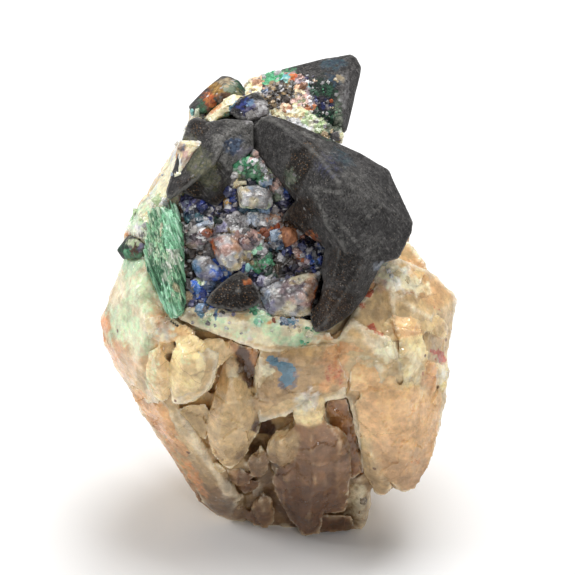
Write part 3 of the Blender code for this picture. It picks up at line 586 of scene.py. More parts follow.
# Each palette's mineral and the colours that its grains take.
PALETTES = {name: (mineral, [display(*tint) for tint in tints]) for name, (mineral, tints) in {
    "black": ("azurite", [(20, 18, 20), (34, 32, 34), (48, 42, 40)]),
    # Painted shadow, laid as dark grains and ground in crevices.
    "shadow": ("iron", [(26, 20, 18), (44, 34, 28), (62, 50, 42)]),
    "navy": ("azurite", [(20, 22, 52), (34, 42, 92), (26, 28, 40), (54, 66, 128)]),
    "blue": ("azurite", [(44, 72, 150), (34, 52, 120), (72, 104, 176), (40, 56, 92)]),
    "bright blue": ("azurite", [(58, 98, 186), (84, 130, 204), (46, 78, 160)]),
    "light blue": ("azurite", [(132, 160, 192), (104, 138, 180), (160, 178, 198)]),
    "steel": ("azurite", [(70, 88, 116), (92, 110, 136), (50, 62, 84)]),
    "violet": ("azurite", [(70, 68, 112), (92, 92, 136), (48, 46, 74), (112, 110, 140)]),
    "ink": ("azurite", [(36, 32, 48), (24, 24, 36), (40, 48, 96), (58, 52, 62)]),
    "teal": ("azurite", [(48, 80, 100), (38, 62, 84), (66, 104, 116)]),
    "aqua": ("malachite", [(116, 172, 168), (88, 146, 150), (144, 190, 184)]),
    "deep green": ("malachite", [(34, 58, 46), (48, 84, 64), (26, 40, 34)]),
    "leaf": ("malachite", [(62, 118, 84), (44, 90, 64), (92, 142, 106), (74, 92, 66)]),
    "green": ("malachite", [(76, 150, 108), (58, 128, 90), (112, 172, 132)]),
    "mint": ("malachite", [(150, 200, 166), (176, 214, 184), (120, 178, 146)]),
    "olive": ("malachite", [(96, 98, 66), (120, 118, 84), (74, 80, 58)]),
    "moss": ("malachite", [(120, 132, 112), (90, 104, 88), (148, 154, 136)]),
    "pale green": ("quartz", [(200, 216, 172), (184, 204, 160), (214, 220, 190)]),
    "white": ("quartz", [(226, 224, 220), (206, 204, 202), (188, 188, 192)]),
    # Painted glints, laid as tiny white crystals.
    "glint": ("quartz", [(250, 250, 250)]),
    "sugar": ("quartz", [(172, 170, 170), (148, 144, 146), (196, 194, 194), (122, 116, 116)]),
    "grey": ("quartz", [(140, 136, 134), (112, 108, 106), (164, 160, 156), (84, 80, 80)]),
    "ice": ("quartz", [(176, 186, 200), (150, 162, 182), (198, 204, 212)]),
    "lilac": ("quartz", [(150, 146, 170), (128, 124, 152), (174, 170, 188)]),
    "mauve": ("quartz", [(134, 118, 122), (108, 96, 104), (158, 140, 142)]),
    "chalk": ("quartz", [(240, 232, 206), (226, 214, 184), (247, 240, 222)]),
    "cream": ("quartz", [(226, 208, 168), (206, 184, 144), (234, 222, 190)]),
    "sand": ("quartz", [(176, 156, 124), (150, 132, 106), (196, 178, 146)]),
    "peach": ("quartz", [(208, 164, 134), (190, 146, 120), (220, 186, 158)]),
    "pink": ("quartz", [(182, 146, 136), (158, 124, 118), (204, 172, 160)]),
    "smoke": ("quartz", [(104, 92, 82), (80, 70, 64), (126, 112, 98)]),
    "orange": ("iron", [(196, 104, 52), (168, 82, 42), (214, 134, 78)]),
    "rust": ("iron", [(150, 84, 50), (120, 66, 44), (176, 108, 66)]),
    "ochre": ("iron", [(148, 112, 58), (122, 92, 50), (170, 134, 80)]),
    "brown": ("iron", [(98, 72, 54), (76, 56, 44), (124, 94, 70)]),
    "mint fibre": ("malachite", [(150, 196, 166), (122, 172, 142), (176, 206, 184), (92, 140, 108)]),
    "green fibre": ("malachite", [(112, 156, 120), (84, 130, 98), (146, 180, 150), (58, 96, 72),
        (168, 180, 156)]),
    "pale fibre": ("malachite", [(176, 186, 168), (150, 164, 144), (192, 192, 184), (104, 138, 112)]),
    "dark fibre": ("malachite", [(44, 84, 60), (64, 112, 80), (96, 144, 110)]),
    "tan fibre": ("malachite", [(164, 158, 128), (130, 132, 102), (178, 176, 150)]),
    "filigree": ("iron", [(40, 32, 26), (98, 84, 62), (30, 26, 24), (132, 112, 84), (58, 48, 38)]),
}.items()}

MINERALS = ("azurite", "malachite", "quartz", "iron")


def block_corners(generator):
    """A broken block that is about 2 across."""
    corners = [Vector([sign * generator.uniform(0.6, 1.0) for sign in signs])
               for signs in itertools.product((-1, 1), repeat=3)]
    corners.append(Vector((generator.uniform(-0.5, 0.5), generator.uniform(-0.5, 0.5), 1.25)))
    return corners


def ball_corners(generator, count=20):
    """An uneven ball that is about 2 across."""
    corners = []
    for index in range(count):
        height = 1.0 - 2.0 * (index + 0.5) / count
        turn = index * math.pi * (3.0 - math.sqrt(5.0)) + generator.uniform(-0.3, 0.3)
        ring = math.sqrt(1.0 - height * height)
        way = Vector((math.cos(turn) * ring, math.sin(turn) * ring, height))
        corners.append(way * generator.uniform(0.85, 1.1))
    return corners


def prism_corners(generator):
    """A short six-sided crystal with a pointed top, about 2 across."""
    corners = [Vector((generator.uniform(-0.3, 0.3), generator.uniform(-0.3, 0.3), 1.3))]
    for side in range(6):
        angle = math.radians(60 * side) + generator.uniform(-0.2, 0.2)
        rim = Vector((math.cos(angle), math.sin(angle), 0.0))
        corners.append(rim + Vector((0, 0, -0.8)))
        corners.append(rim * 0.95 + Vector((0, 0, generator.uniform(0.2, 0.8))))
    return corners


SHAPES = {"azurite": (block_corners, prism_corners), "malachite": (ball_corners,),
          "quartz": (block_corners, prism_corners, block_corners), "iron": (block_corners, ball_corners)}


class Heap:
    """Crystals gathered into one mesh, each with its own colour."""

    def __init__(self):
        self.corners = []
        self.faces = []
        self.colours = []

    def add(self, corners, tint):
        """The convex crystal between some corners."""
        form = bmesh.new()
        for corner in corners:
            form.verts.new(corner)
        hull = bmesh.ops.convex_hull(form, input=form.verts)
        inner = hull["geom_interior"] + hull["geom_unused"]
        loose = {item for item in inner if isinstance(item, bmesh.types.BMVert)}
        bmesh.ops.delete(form, geom=list(loose), context="VERTS")
        bmesh.ops.recalc_face_normals(form, faces=form.faces)
        form.verts.index_update()
        first = len(self.corners)
        self.corners += [corner.co[:] for corner in form.verts]
        self.faces += [[first + corner.index for corner in face.verts] for face in form.faces]
        self.colours += [tint] * len(form.verts)
        form.free()

    def mesh(self, name):
        mesh = bpy.data.meshes.new(name)
        mesh.from_pydata(self.corners, [], self.faces)
        mesh.update()
        store_colour(mesh, np.array(self.colours))
        return mesh


def nearest_patch(face, patches, margin=PATCH_MARGIN):
    """Which patch lies nearest to each place on the crystal face, and how far out of it, 1 at its rim."""
    nearest = np.full(len(face), FAR)
    owner = np.zeros(len(face), dtype=int)
    for number, (_, _, u, v, wide, high, turn) in enumerate(patches):
        reach = oval_reach(face, u, v, wide + margin, high + margin, turn)
        closer = reach < nearest
        nearest[closer] = reach[closer]
        owner[closer] = number
    return owner, nearest


def paint(colours, owner, patches, pick):
    """Gives each place a colour of its own patch's palette. Places with no patch (-1) keep their colour."""
    for number, (palette, *_) in enumerate(patches):
        tints = np.array(PALETTES[palette][1])
        mine = owner == number
        colours[mine] = tints[(pick[mine] * len(tints)).astype(int)]
    return colours


def patch_colours(face, patches, grain, seed, stray=0.25):
    """Colours (n, 3) of a granular surface, whose grains take the palettes of the patches, and how far out
    of its patch each place is. A share of the grains stray to plain sugary quartz."""
    _, _, offset, home = nearest_seeds(face, grain, seed)
    middle = face - offset * grain
    middle = middle + (np.stack([lattice(home, seed + 7 + axis) for axis in range(3)], axis=1) - 0.5) * grain
    owner, nearest = nearest_patch(middle, patches)
    pick = lattice(home, seed + 5)
    strays = np.array(PALETTES["sugar"][1])
    colours = strays[(pick * len(strays)).astype(int)]
    colours = paint(colours, np.where(lattice(home, seed + 4) >= stray, owner, -1), patches, pick)
    return colours * (0.8 + 0.4 * lattice(home, seed + 6))[:, None], nearest


def film(face, patches, grain, seed, stray, ragged, start):
    """A granular film in patches (palette, strength, u, v, ...): its colours and its mask."""
    tints, beyond = patch_colours(face, patches, grain, seed, stray)
    owner, _ = nearest_patch(face, patches)
    strength = np.array([patch[1] for patch in patches])[owner]
    return tints, strength * (1.0 - step_up(beyond + ragged * clouds(face, 0.5, seed + 4), start, 1.5))


# Quartz ----------------------------------------------------------------------------------------------

# The quartz crystals that show on the front, each the hull of its outline, its ridge and a point FRONT_DEPTH
# behind them: ground colour, outline (u, v, w), ridge (u, v, w).
FRONT_DEPTH = 5.0
# The recess and gap crystals and the lowest right foot take darker ground colours as painted shade.
FRONT_CRYSTALS = {
    "cream_block": ("ivory", [(-16.6, -7.2, 12.6), (-15.6, -5.4, 13.2), (-13.2, -4.9, 13.8),
        (-12.1, -6.3, 14.2), (-10.2, -7.4, 12.8), (-9.9, -9.2, 12.0), (-10.4, -10.9, 11.0),
        (-11.1, -12.4, 10.0), (-12.2, -13.3, 9.2), (-13.3, -14.2, 8.4), (-15.2, -14.3, 8.2),
        (-16.5, -13.6, 8.6), (-16.8, -10.2, 11.2)], [(-14.6, -8.2, 14.4), (-12.6, -8.4, 14.7),
        (-13.2, -12.2, 11.9), (-15.4, -12.4, 11.3)]),
    "block_shoulder": ("pale", [(-12.2, -5.2, 13.6), (-9.4, -5.4, 13.2), (-8.4, -6.6, 12.0),
        (-7.9, -7.8, 10.6), (-9.3, -9.2, 10.4), (-10.0, -9.2, 11.2), (-10.2, -7.5, 12.6),
        (-12.0, -6.6, 13.6)], [(-10.4, -6.4, 13.4)]),
    "long_crystal": ("milky", [(-7.9, -7.7, 9.6), (-6.5, -9.0, 9.4), (-5.8, -10.6, 8.8), (-5.3, -13.0, 8.0),
        (-4.9, -15.4, 7.0), (-4.3, -17.3, 5.6), (-4.7, -19.2, 4.2), (-5.9, -20.8, 3.0), (-6.6, -22.2, 1.6),
        (-7.9, -23.3, 0.6), (-9.2, -23.3, 0.2), (-10.4, -22.3, 0.6), (-11.0, -20.9, 1.6),
        (-11.4, -19.4, 2.8), (-11.9, -17.8, 4.0), (-11.3, -15.6, 6.0), (-10.6, -13.2, 7.4),
        (-9.9, -11.0, 8.4), (-9.3, -9.0, 9.2)], [(-8.2, -11.5, 10.8), (-9.6, -16.2, 8.4),
        (-6.8, -16.4, 8.6), (-9.8, -19.8, 5.2), (-7.2, -20.2, 4.9), (-8.6, -22.0, 2.8)]),
    "recess_upper": ("recess_shade", [(-9.0, -5.4, 12.4), (-4.4, -6.8, 12.0), (-3.9, -8.4, 11.0),
        (-4.0, -11.0, 9.2), (-5.4, -11.0, 8.6), (-6.0, -9.4, 9.6), (-7.8, -7.6, 10.4)], []),
    "middle_block": ("tan", [(-4.1, -6.9, 13.2), (-1.0, -6.6, 13.8), (2.0, -6.3, 14.2), (6.1, -5.9, 14.0),
        (7.2, -8.4, 12.8), (8.0, -10.8, 11.2), (7.9, -12.6, 9.8), (6.4, -13.5, 9.0), (4.4, -13.4, 9.0),
        (1.6, -14.2, 8.6), (0.4, -15.3, 7.8), (-1.9, -16.1, 7.0), (-4.2, -17.1, 5.8), (-5.3, -14.5, 7.6),
        (-4.4, -11.0, 9.8), (-4.1, -9.0, 11.4)], [(3.6, -8.0, 14.2), (-2.0, -9.8, 12.4), (2.5, -12.4, 11.0),
        (-2.6, -14.0, 9.2), (5.8, -11.6, 11.2)]),
    "recess_left": ("milky", [(-16.0, -15.0, 4.6), (-13.6, -14.4, 5.4), (-11.6, -14.5, 5.6),
        (-11.2, -16.0, 4.6), (-12.0, -18.0, 2.6), (-11.6, -19.6, 1.6), (-13.0, -19.0, 0.6),
        (-15.0, -17.0, 2.2)], []),
    "centre_head": ("ivory", [(0.5, -15.3, 8.4), (1.7, -13.6, 9.0), (3.9, -12.7, 9.6), (4.8, -13.4, 9.4),
        (4.9, -16.4, 7.4), (4.6, -18.4, 5.6), (0.8, -18.0, 5.8), (0.3, -16.6, 7.2)], [(3.2, -15.0, 9.9),
        (3.0, -17.4, 7.6)]),
    "centre_shaft": ("brown", [(0.3, -16.6, 7.0), (4.9, -16.4, 7.2), (6.0, -18.5, 5.4), (5.6, -26.0, -1.4),
        (4.2, -33.0, -9.2), (1.6, -33.3, -9.8), (0.6, -30.0, -6.8), (0.2, -24.0, -0.8), (0.2, -18.5, 5.2)],
        [(3.0, -18.2, 7.0), (3.4, -25.0, 0.8), (2.6, -31.0, -5.8)]),
    "centre_bulge": ("milky", [(-0.3, -17.6, 5.8), (-1.9, -18.1, 5.2), (-2.9, -19.3, 4.2),
        (-3.3, -21.1, 2.4), (-2.8, -22.7, 0.6), (-1.4, -23.4, 0.2), (0.6, -22.6, 1.4), (1.6, -20.6, 3.8),
        (1.2, -18.6, 5.6)], [(-1.3, -19.8, 5.6), (-0.9, -21.6, 3.6)]),
    "centre_right": ("brown", [(5.0, -17.0, 6.8), (6.6, -17.7, 5.8), (7.8, -18.3, 4.8), (8.3, -20.2, 3.0),
        (8.7, -22.4, 0.8), (8.6, -25.0, -1.8), (8.3, -28.0, -5.0), (7.6, -30.0, -7.2), (4.5, -30.0, -6.8),
        (4.2, -24.0, -0.2), (4.4, -19.0, 4.8)], [(6.9, -19.6, 5.2), (6.8, -23.6, 1.2), (6.6, -27.5, -3.2)]),
    "centre_lower": ("brown", [(-2.2, -23.2, -0.4), (-2.5, -25.4, -2.4), (-1.8, -27.4, -4.4),
        (-0.8, -29.2, -6.4), (0.2, -31.3, -8.6), (1.4, -32.2, -9.4), (2.0, -28.0, -4.8), (1.4, -24.0, -0.6),
        (0.2, -22.8, 0.8)], [(-0.6, -24.8, -0.4), (0.0, -27.6, -3.2), (0.9, -30.0, -6.2)]),
    "foot_tip": ("brown", [(1.0, -31.0, -8.8), (1.4, -33.2, -10.8), (2.3, -33.4, -11.0),
        (3.1, -32.6, -10.2), (2.8, -30.6, -7.6), (1.6, -30.4, -7.2)], [(2.0, -31.6, -7.8)]),
    "foot_right": ("painted_shade", [(3.0, -30.2, -7.8), (8.6, -30.2, -8.6), (9.6, -32.3, -11.0),
        (4.0, -32.8, -10.8), (3.0, -32.0, -10.2)], []),
    "brown_gap": ("recess_shade", [(5.0, -13.6, 6.6), (8.0, -13.6, 6.6), (8.4, -15.5, 5.2), (9.4, -18.6, 2.2),
        (10.0, -22.0, -1.0), (10.4, -24.6, -3.4), (8.4, -25.4, -4.4), (8.2, -21.0, -0.4), (7.4, -18.0, 2.6),
        (5.0, -16.4, 4.8)], []),
    "blade": ("peach", [(-22.4, -12.0, 1.6), (-21.5, -14.6, -0.4), (-20.4, -16.0, -1.4),
        (-18.6, -18.0, -3.0), (-17.0, -20.2, -5.0), (-15.8, -22.0, -6.6), (-14.9, -24.4, -8.6),
        (-13.8, -26.4, -10.2), (-12.8, -28.3, -11.6), (-11.4, -29.6, -12.6), (-10.0, -30.7, -13.4),
        (-9.4, -29.8, -11.8), (-8.0, -28.0, -9.2), (-7.2, -27.4, -8.0), (-8.2, -26.2, -6.6),
        (-9.8, -24.4, -4.4), (-11.4, -22.2, -2.2), (-12.8, -19.4, 0.4), (-14.4, -17.2, 2.4),
        (-16.2, -15.2, 4.2), (-18.6, -13.4, 5.4), (-20.6, -11.6, 4.4)], [(-18.4, -15.6, 3.2),
        (-15.6, -19.2, 0.4), (-13.0, -23.0, -3.2), (-10.4, -27.0, -7.6)]),
    "left_cheek": ("apricot", [(-20.0, 0.5, 12.2), (-17.2, -1.5, 12.6), (-16.0, -3.4, 12.4),
        (-14.6, -3.9, 12.8), (-13.0, -4.6, 13.4), (-15.6, -5.6, 13.0), (-17.4, -6.2, 12.2),
        (-19.8, -5.6, 11.9), (-20.5, -3.0, 12.0)], [(-17.6, -3.4, 13.2)]),
    "left_prism": ("pale", [(-19.8, -7.0, 11.6), (-18.2, -6.2, 12.2), (-17.0, -8.0, 11.8),
        (-16.6, -10.0, 10.8), (-16.7, -14.0, 7.2), (-18.0, -14.4, 6.6), (-19.2, -13.4, 6.4),
        (-20.3, -10.4, 9.2)], [(-18.2, -9.0, 12.6), (-18.0, -13.0, 8.6)]),
    "foot_a": ("tan", [(-8.5, -27.6, -9.6), (-7.1, -27.7, -9.2), (-6.0, -29.0, -10.2), (-5.7, -30.3, -11.4),
        (-6.7, -31.0, -12.4), (-7.6, -31.1, -12.6), (-8.4, -30.6, -12.4), (-9.2, -29.6, -11.6)],
        [(-7.2, -29.4, -9.6)]),
    "foot_b": ("brown", [(-3.8, -26.8, -7.0), (-2.6, -27.9, -7.6), (-2.0, -30.0, -9.6),
        (-2.2, -31.2, -10.8), (-3.2, -32.0, -12.0), (-4.2, -31.6, -11.6), (-5.2, -31.8, -12.0),
        (-6.3, -31.0, -11.6), (-5.4, -28.8, -9.2)], [(-3.7, -29.6, -8.2), (-4.2, -28.0, -7.0)]),
    "foot_c": ("brown", [(-8.8, -23.7, -2.6), (-6.6, -23.4, -1.8), (-5.2, -24.8, -3.0), (-5.6, -26.0, -4.4),
        (-7.4, -26.2, -5.0), (-8.6, -25.0, -4.0)], [(-6.9, -24.8, -2.2)]),
    "foot_d": ("tan", [(-6.2, -22.6, -0.2), (-4.2, -20.2, 2.0), (-3.1, -21.6, 1.2), (-3.0, -23.6, -0.6),
        (-3.8, -25.0, -2.2), (-5.4, -24.8, -2.4)], [(-4.4, -22.6, 1.2)]),
    "foot_e": ("milky", [(-10.9, -23.2, -1.6), (-10.6, -22.3, -0.8), (-9.6, -23.0, -1.2),
        (-9.0, -24.0, -2.2), (-10.0, -24.2, -2.6)], [(-10.0, -23.2, -0.8)]),
    "foot_recess": ("recess_shade", [(-9.4, -24.6, -4.8), (-7.4, -26.4, -6.6), (-6.4, -27.4, -8.0),
        (-5.6, -26.2, -6.2), (-4.2, -26.4, -6.2), (-4.0, -25.4, -4.8), (-6.6, -24.8, -4.4)], []),
    "right_lower": ("apricot", [(11.3, -19.3, 5.6), (12.2, -21.7, 4.2), (13.4, -24.4, 1.8),
        (14.6, -26.0, 0.0), (15.7, -26.9, -1.0), (17.5, -26.6, -1.4), (18.2, -24.7, -0.4),
        (19.7, -23.3, -0.4), (20.3, -21.0, 0.6), (20.8, -18.6, 1.4), (21.3, -16.0, 2.0), (21.3, -14.0, 2.6),
        (21.0, -12.6, 3.8), (18.0, -12.0, 8.2), (15.5, -12.1, 10.2), (12.0, -12.5, 10.4), (9.5, -13.0, 9.8),
        (8.9, -15.0, 8.0), (9.4, -18.0, 5.8)], [(12.5, -15.0, 9.4), (16.5, -14.4, 9.0), (16.8, -21.4, 4.8),
        (19.3, -18.0, 4.0), (13.6, -20.0, 6.0)]),
    "right_foot": ("pale", [(9.6, -18.8, 5.0), (11.2, -19.4, 5.6), (12.1, -21.6, 4.0), (13.3, -24.2, 1.6),
        (14.3, -26.2, -0.6), (13.3, -27.4, -2.2), (12.5, -27.2, -2.0), (11.8, -26.6, -1.6),
        (11.5, -25.4, -1.0), (10.4, -24.1, 0.0), (10.1, -22.5, 1.6), (9.9, -20.5, 3.4)],
        [(11.4, -21.4, 4.6), (12.4, -25.0, 1.0)]),
    "right_pane": ("ivory", [(15.3, -5.6, 12.2), (18.6, -5.0, 9.8), (19.6, -7.8, 8.2), (18.9, -8.8, 8.6),
        (18.2, -11.8, 7.6), (15.8, -12.0, 9.6), (15.2, -9.4, 11.2)], [(17.0, -8.5, 10.9)]),
    "right_rose": ("peach", [(18.9, -8.6, 8.6), (20.2, -8.2, 7.2), (20.8, -12.0, 5.4), (20.4, -13.0, 5.0),
        (18.1, -12.0, 7.6)], [(19.4, -10.0, 8.0)]),
    "right_sliver": ("ivory", [(20.3, -8.6, 7.0), (22.1, -8.6, 3.2), (21.9, -12.0, 2.6), (21.3, -13.6, 2.4),
        (20.8, -12.0, 4.6), (20.5, -10.0, 6.0)], [(21.3, -10.0, 5.4)]),
    "right_chip": ("ivory", [(11.6, -5.0, 12.8), (14.0, -5.2, 12.8), (15.1, -8.9, 11.4), (14.4, -8.6, 11.6),
        (11.6, -6.4, 12.8)], [(13.2, -6.0, 13.6)]),
    "right_middle": ("apricot", [(8.2, -11.0, 10.8), (8.4, -9.0, 11.8), (11.0, -7.5, 12.8),
        (14.5, -9.0, 11.8), (15.4, -12.0, 9.8), (12.0, -12.6, 10.0), (8.3, -12.6, 9.8)],
        [(11.5, -10.4, 12.0)]),
    "right_neck": ("peach", [(5.2, -5.3, 13.4), (8.0, -3.4, 12.4), (10.5, -4.0, 12.6), (11.6, -5.2, 12.8),
        (11.0, -7.6, 12.8), (8.2, -9.2, 11.8), (6.7, -7.4, 12.8)], [(8.6, -6.0, 13.8)]),
    "right_flank": ("pale", [(17.0, -1.2, 10.6), (19.2, -1.0, 9.0), (21.2, -2.4, 6.6), (22.3, -4.0, 4.2),
        (21.8, -5.6, 5.4), (19.0, -4.8, 9.2), (17.4, -3.0, 10.4)], [(20.0, -3.4, 8.0)]),
    "right_panel": ("apricot", [(14.0, -1.8, 11.6), (16.8, -1.4, 10.6), (18.0, -3.6, 10.2),
        (18.8, -4.9, 9.2), (15.2, -5.4, 12.0), (14.6, -4.0, 12.4)], [(16.6, -3.4, 11.6)]),
    "flank_low": ("frost", [(-20.0, 14.6, 7.2), (-19.0, 15.2, 8.0), (-18.2, 16.3, 8.2), (-17.2, 18.4, 8.0),
        (-16.6, 18.2, 9.6), (-16.2, 16.0, 11.6), (-16.6, 14.2, 12.6), (-17.2, 12.8, 12.9),
        (-18.6, 12.6, 12.6), (-19.8, 13.2, 10.6)], [(-17.6, 14.6, 12.6)]),
    "flank_middle": ("frost", [(-17.3, 18.4, 7.6), (-16.8, 19.4, 7.4), (-15.9, 20.1, 7.6),
        (-15.2, 21.0, 8.0), (-14.3, 21.4, 10.6), (-14.9, 19.9, 11.6), (-15.5, 18.2, 12.4),
        (-16.1, 16.6, 12.6), (-16.7, 16.6, 10.6)], [(-15.8, 18.6, 12.2)]),
    "flank_top": ("frost", [(-15.6, 21.6, 7.0), (-15.4, 22.2, 7.2), (-14.8, 23.2, 7.4), (-14.3, 24.8, 7.6),
        (-13.9, 24.8, 9.0), (-14.1, 22.6, 11.8), (-14.2, 21.2, 11.8), (-15.2, 20.8, 8.6)], []),
    "cream_panel": ("tan", [(-15.2, 22.2, 13.0), (-12.2, 22.1, 14.6), (-13.5, 20.6, 14.9),
        (-14.5, 18.5, 14.7), (-16.0, 16.0, 13.8), (-17.0, 15.2, 12.8), (-17.0, 16.8, 12.4),
        (-16.2, 19.0, 12.6)], [(-14.2, 20.6, 14.9), (-15.4, 18.2, 14.5)]),
    "mottled_block": ("frost", [(-20.0, 14.6, 8.4), (-21.2, 13.3, 8.2), (-21.8, 12.3, 7.8),
        (-22.5, 10.8, 7.6), (-23.1, 9.4, 7.4), (-22.2, 8.9, 9.4), (-21.4, 8.6, 10.8), (-20.4, 8.2, 12.0),
        (-19.6, 8.6, 12.6), (-19.4, 10.6, 12.6), (-19.2, 12.4, 12.4), (-19.2, 13.6, 11.4)],
        [(-20.9, 11.4, 11.9)]),
    "pale_ledge": ("ivory", [(-12.0, 25.1, 10.2), (-11.4, 26.2, 10.4), (-10.0, 27.0, 10.5),
        (-9.2, 27.7, 10.4), (-8.9, 28.2, 10.2), (-8.0, 28.6, 10.0), (-6.4, 28.4, 9.8), (-5.9, 27.9, 10.0),
        (-7.0, 27.4, 10.8), (-8.2, 26.3, 11.4), (-9.2, 25.9, 11.4), (-10.9, 24.5, 11.2)],
        [(-9.2, 27.1, 11.5)]),
    "right_fill": ("pale", [(11.0, -3.5, 11.6), (14.6, -2.0, 11.4), (15.8, -5.0, 11.2), (13.0, -7.0, 11.6)],
        [(13.4, -4.6, 11.9)]),
    "left_fill": ("pale", [(-18.4, -5.0, 11.6), (-16.0, -4.8, 12.2), (-16.0, -7.6, 11.6),
        (-18.2, -7.4, 11.2)], [(-17.2, -6.2, 11.9)]),
    "right_brow": ("ivory", [(11.3, 2.4, 11.2), (13.2, 5.2, 10.6), (16.0, 3.6, 10.0), (19.4, 4.2, 6.4),
        (18.4, 1.8, 8.6), (16.0, 0.6, 10.2), (13.2, 1.7, 11.6)], [(14.4, 3.2, 11.6)]),
}

# Marks on the crystal face: u, v, half width, half height, turn in degrees, strength.
QUARTZ_MARKS = {
    "mint": [(-22.0, 5.0, 1.7, 1.6, 0, 1.0), (-21.0, 1.5, 2.6, 3.2, 10, 0.55),
        (-23.2, -3.0, 2.4, 3.6, 10, 0.6), (-20.5, -6.0, 2.0, 2.2, 0, 0.45),
        (-19.3, -10.0, 0.9, 3.2, -12, 0.4), (-14.5, -8.0, 1.0, 1.2, 0, 0.4), (-4.0, -2.4, 1.9, 1.2, 0, 0.9),
        (0.4, -5.6, 2.3, 0.9, 5, 0.85), (-2.5, -4.2, 1.6, 1.4, 0, 0.7), (-10.8, -3.0, 2.4, 1.0, -8, 0.6),
        (-6.8, -4.6, 2.2, 1.0, 0, 0.5), (-22.0, 11.5, 1.4, 1.6, 20, 0.8), (-20.6, 13.0, 1.0, 0.8, 0, 0.6),
        (3.0, -4.3, 1.6, 0.9, 0, 0.7), (-19.5, 9.0, 1.5, 2.5, 0, 0.5), (4.6, 24.4, 2.2, 2.0, 0, 0.45),
        (-1.8, 31.2, 1.4, 0.7, 10, 1.0), (-9.0, 25.3, 2.4, 0.6, 35, 1.0), (4.3, 29.3, 0.9, 0.9, 0, 0.8)],
    "blue": [(-0.2, -3.0, 1.1, 0.6, 0, 0.9), (-10.4, -1.6, 0.25, 1.3, 0, 1.0),
        (-12.6, -1.0, 0.7, 1.5, 0, 0.8), (-2.4, -8.4, 1.0, 0.7, -25, 1.0), (-0.5, -9.4, 1.3, 1.0, -20, 1.0),
        (-0.2, -11.0, 0.95, 1.3, 0, 1.0), (13.0, 5.0, 0.5, 0.4, 0, 0.5), (-7.4, 27.0, 1.2, 0.7, 40, 1.0),
        (-13.3, 24.5, 0.5, 2.2, 10, 0.35), (2.6, 31.0, 1.0, 0.4, 0, 0.8)],
    "rust": [(-25.8, -3.0, 1.0, 2.6, 0, 0.7), (-24.6, -7.0, 1.4, 1.8, 0, 0.5),
        (-17.8, -2.0, 1.2, 3.4, 5, 0.35), (-17.5, -20.0, 1.0, 4.0, 28, 0.45),
        (-13.4, -25.0, 0.9, 3.4, 30, 0.55), (-3.0, -3.4, 0.6, 0.7, 0, 0.6), (5.0, -5.2, 1.4, 0.5, 0, 0.5),
        (6.5, -8.5, 0.5, 2.6, -12, 0.5), (17.5, -22.5, 1.0, 0.6, 0, 0.5), (16.8, -15.5, 2.0, 0.4, 20, 0.3),
        (-10.5, 26.6, 1.0, 0.5, 40, 0.7), (-22.9, 9.2, 0.6, 0.6, 0, 0.6)],
    "red": [(11.4, -3.8, 0.8, 0.5, 0, 0.9), (10.6, 1.0, 1.1, 0.6, 20, 0.9), (10.0, -0.8, 0.8, 0.8, 0, 0.5),
        (12.4, -4.6, 0.9, 0.35, -20, 0.6), (21.2, -8.0, 0.8, 0.9, 0, 1.0), (20.2, -7.2, 0.7, 0.5, 0, 0.8),
        (6.2, -10.0, 1.5, 1.9, 0, 0.4), (18.6, -10.8, 0.25, 0.8, 0, 0.5), (16.6, 1.0, 1.0, 0.3, 0, 0.35),
        (20.5, -1.2, 1.0, 0.25, -35, 0.5), (1.6, 29.2, 1.1, 1.4, 0, 0.35)],
    "cream": [(-22.0, -1.5, 3.4, 6.0, 0, 0.55), (-10.0, -3.4, 4.5, 1.5, -8, 0.8),
        (-2.0, -4.8, 5.0, 1.6, 0, 0.85), (13.0, 4.2, 1.9, 1.6, 0, 0.85), (17.0, 2.4, 3.4, 1.2, -25, 0.6),
        (13.4, -7.0, 1.6, 1.7, 0, 0.6), (11.0, -8.6, 1.6, 1.1, 0, 0.45), (-3.2, -9.9, 0.9, 0.8, 0, 0.8),
        (3.0, 24.5, 5.0, 3.4, 0, 0.85), (-2.0, 27.0, 3.0, 1.2, 0, 0.6), (-9.6, 26.8, 2.6, 1.1, 42, 0.9),
        (-20.0, 12.5, 2.2, 2.0, 0, 0.5), (-17.0, 17.0, 2.4, 4.0, 20, 0.75), (-13.8, 23.0, 1.0, 3.0, 0, 0.9),
        (-4.0, 30.2, 1.6, 1.0, 0, 0.6), (9.4, -27.5, 1.4, 2.4, 0, 0.4), (2.0, -14.6, 1.8, 1.6, 0, 0.45)],
    "peach": [(20.0, 4.0, 5.0, 5.0, 0, 0.5), (-17.5, -1.5, 1.6, 3.5, 0, 0.5), (6.0, -9.5, 2.2, 3.6, 0, 0.7),
        (-24.0, -8.0, 3.0, 4.0, 0, 0.5), (1.8, 28.6, 1.5, 2.2, 0, 0.9), (-3.8, 30.3, 1.2, 0.8, 20, 0.9),
        (-9.6, 27.0, 2.0, 0.9, 42, 0.6), (2.0, 31.4, 1.4, 0.4, 10, 0.8)],
    # Painted shade, darkening recesses, gaps and the foot.
    "painted_shade": [(-6.2, -8.8, 1.2, 3.6, 12, 0.9), (-13.5, -16.5, 1.8, 3.0, 0, 0.15),
        (-3.6, -17.6, 1.8, 1.7, 30, 1.0), (6.3, -15.6, 1.9, 2.4, 0, 0.45), (8.6, -21.0, 1.1, 5.0, 6, 0.5),
        (2.5, -29.0, 5.0, 4.0, 0, 0.65), (-4.0, -24.0, 3.5, 4.0, 0, 0.55), (-10.0, -28.5, 3.5, 3.0, 0, 0.5),
        (1.2, -22.5, 3.6, 4.0, 0, 0.35), (16.8, 0.4, 2.0, 1.2, 0, 0.35), (12.8, -1.6, 1.8, 1.5, 0, 0.35)],
    # Painted shadow: dark lines and patches in crevices and under ledges.
    "dark": [(-1.2, 28.6, 2.6, 1.7, 0, 0.85), (-6.3, 27.3, 1.5, 1.2, 0, 0.9),
        (-16.5, -2.9, 1.6, 0.15, -40, 0.8), (-2.6, 30.6, 3.4, 0.35, 12, 0.9),
        (-20.6, 9.0, 0.7, 0.7, 0, 0.6), (5.8, 26.0, 0.9, 2.2, 0, 0.5)],
}


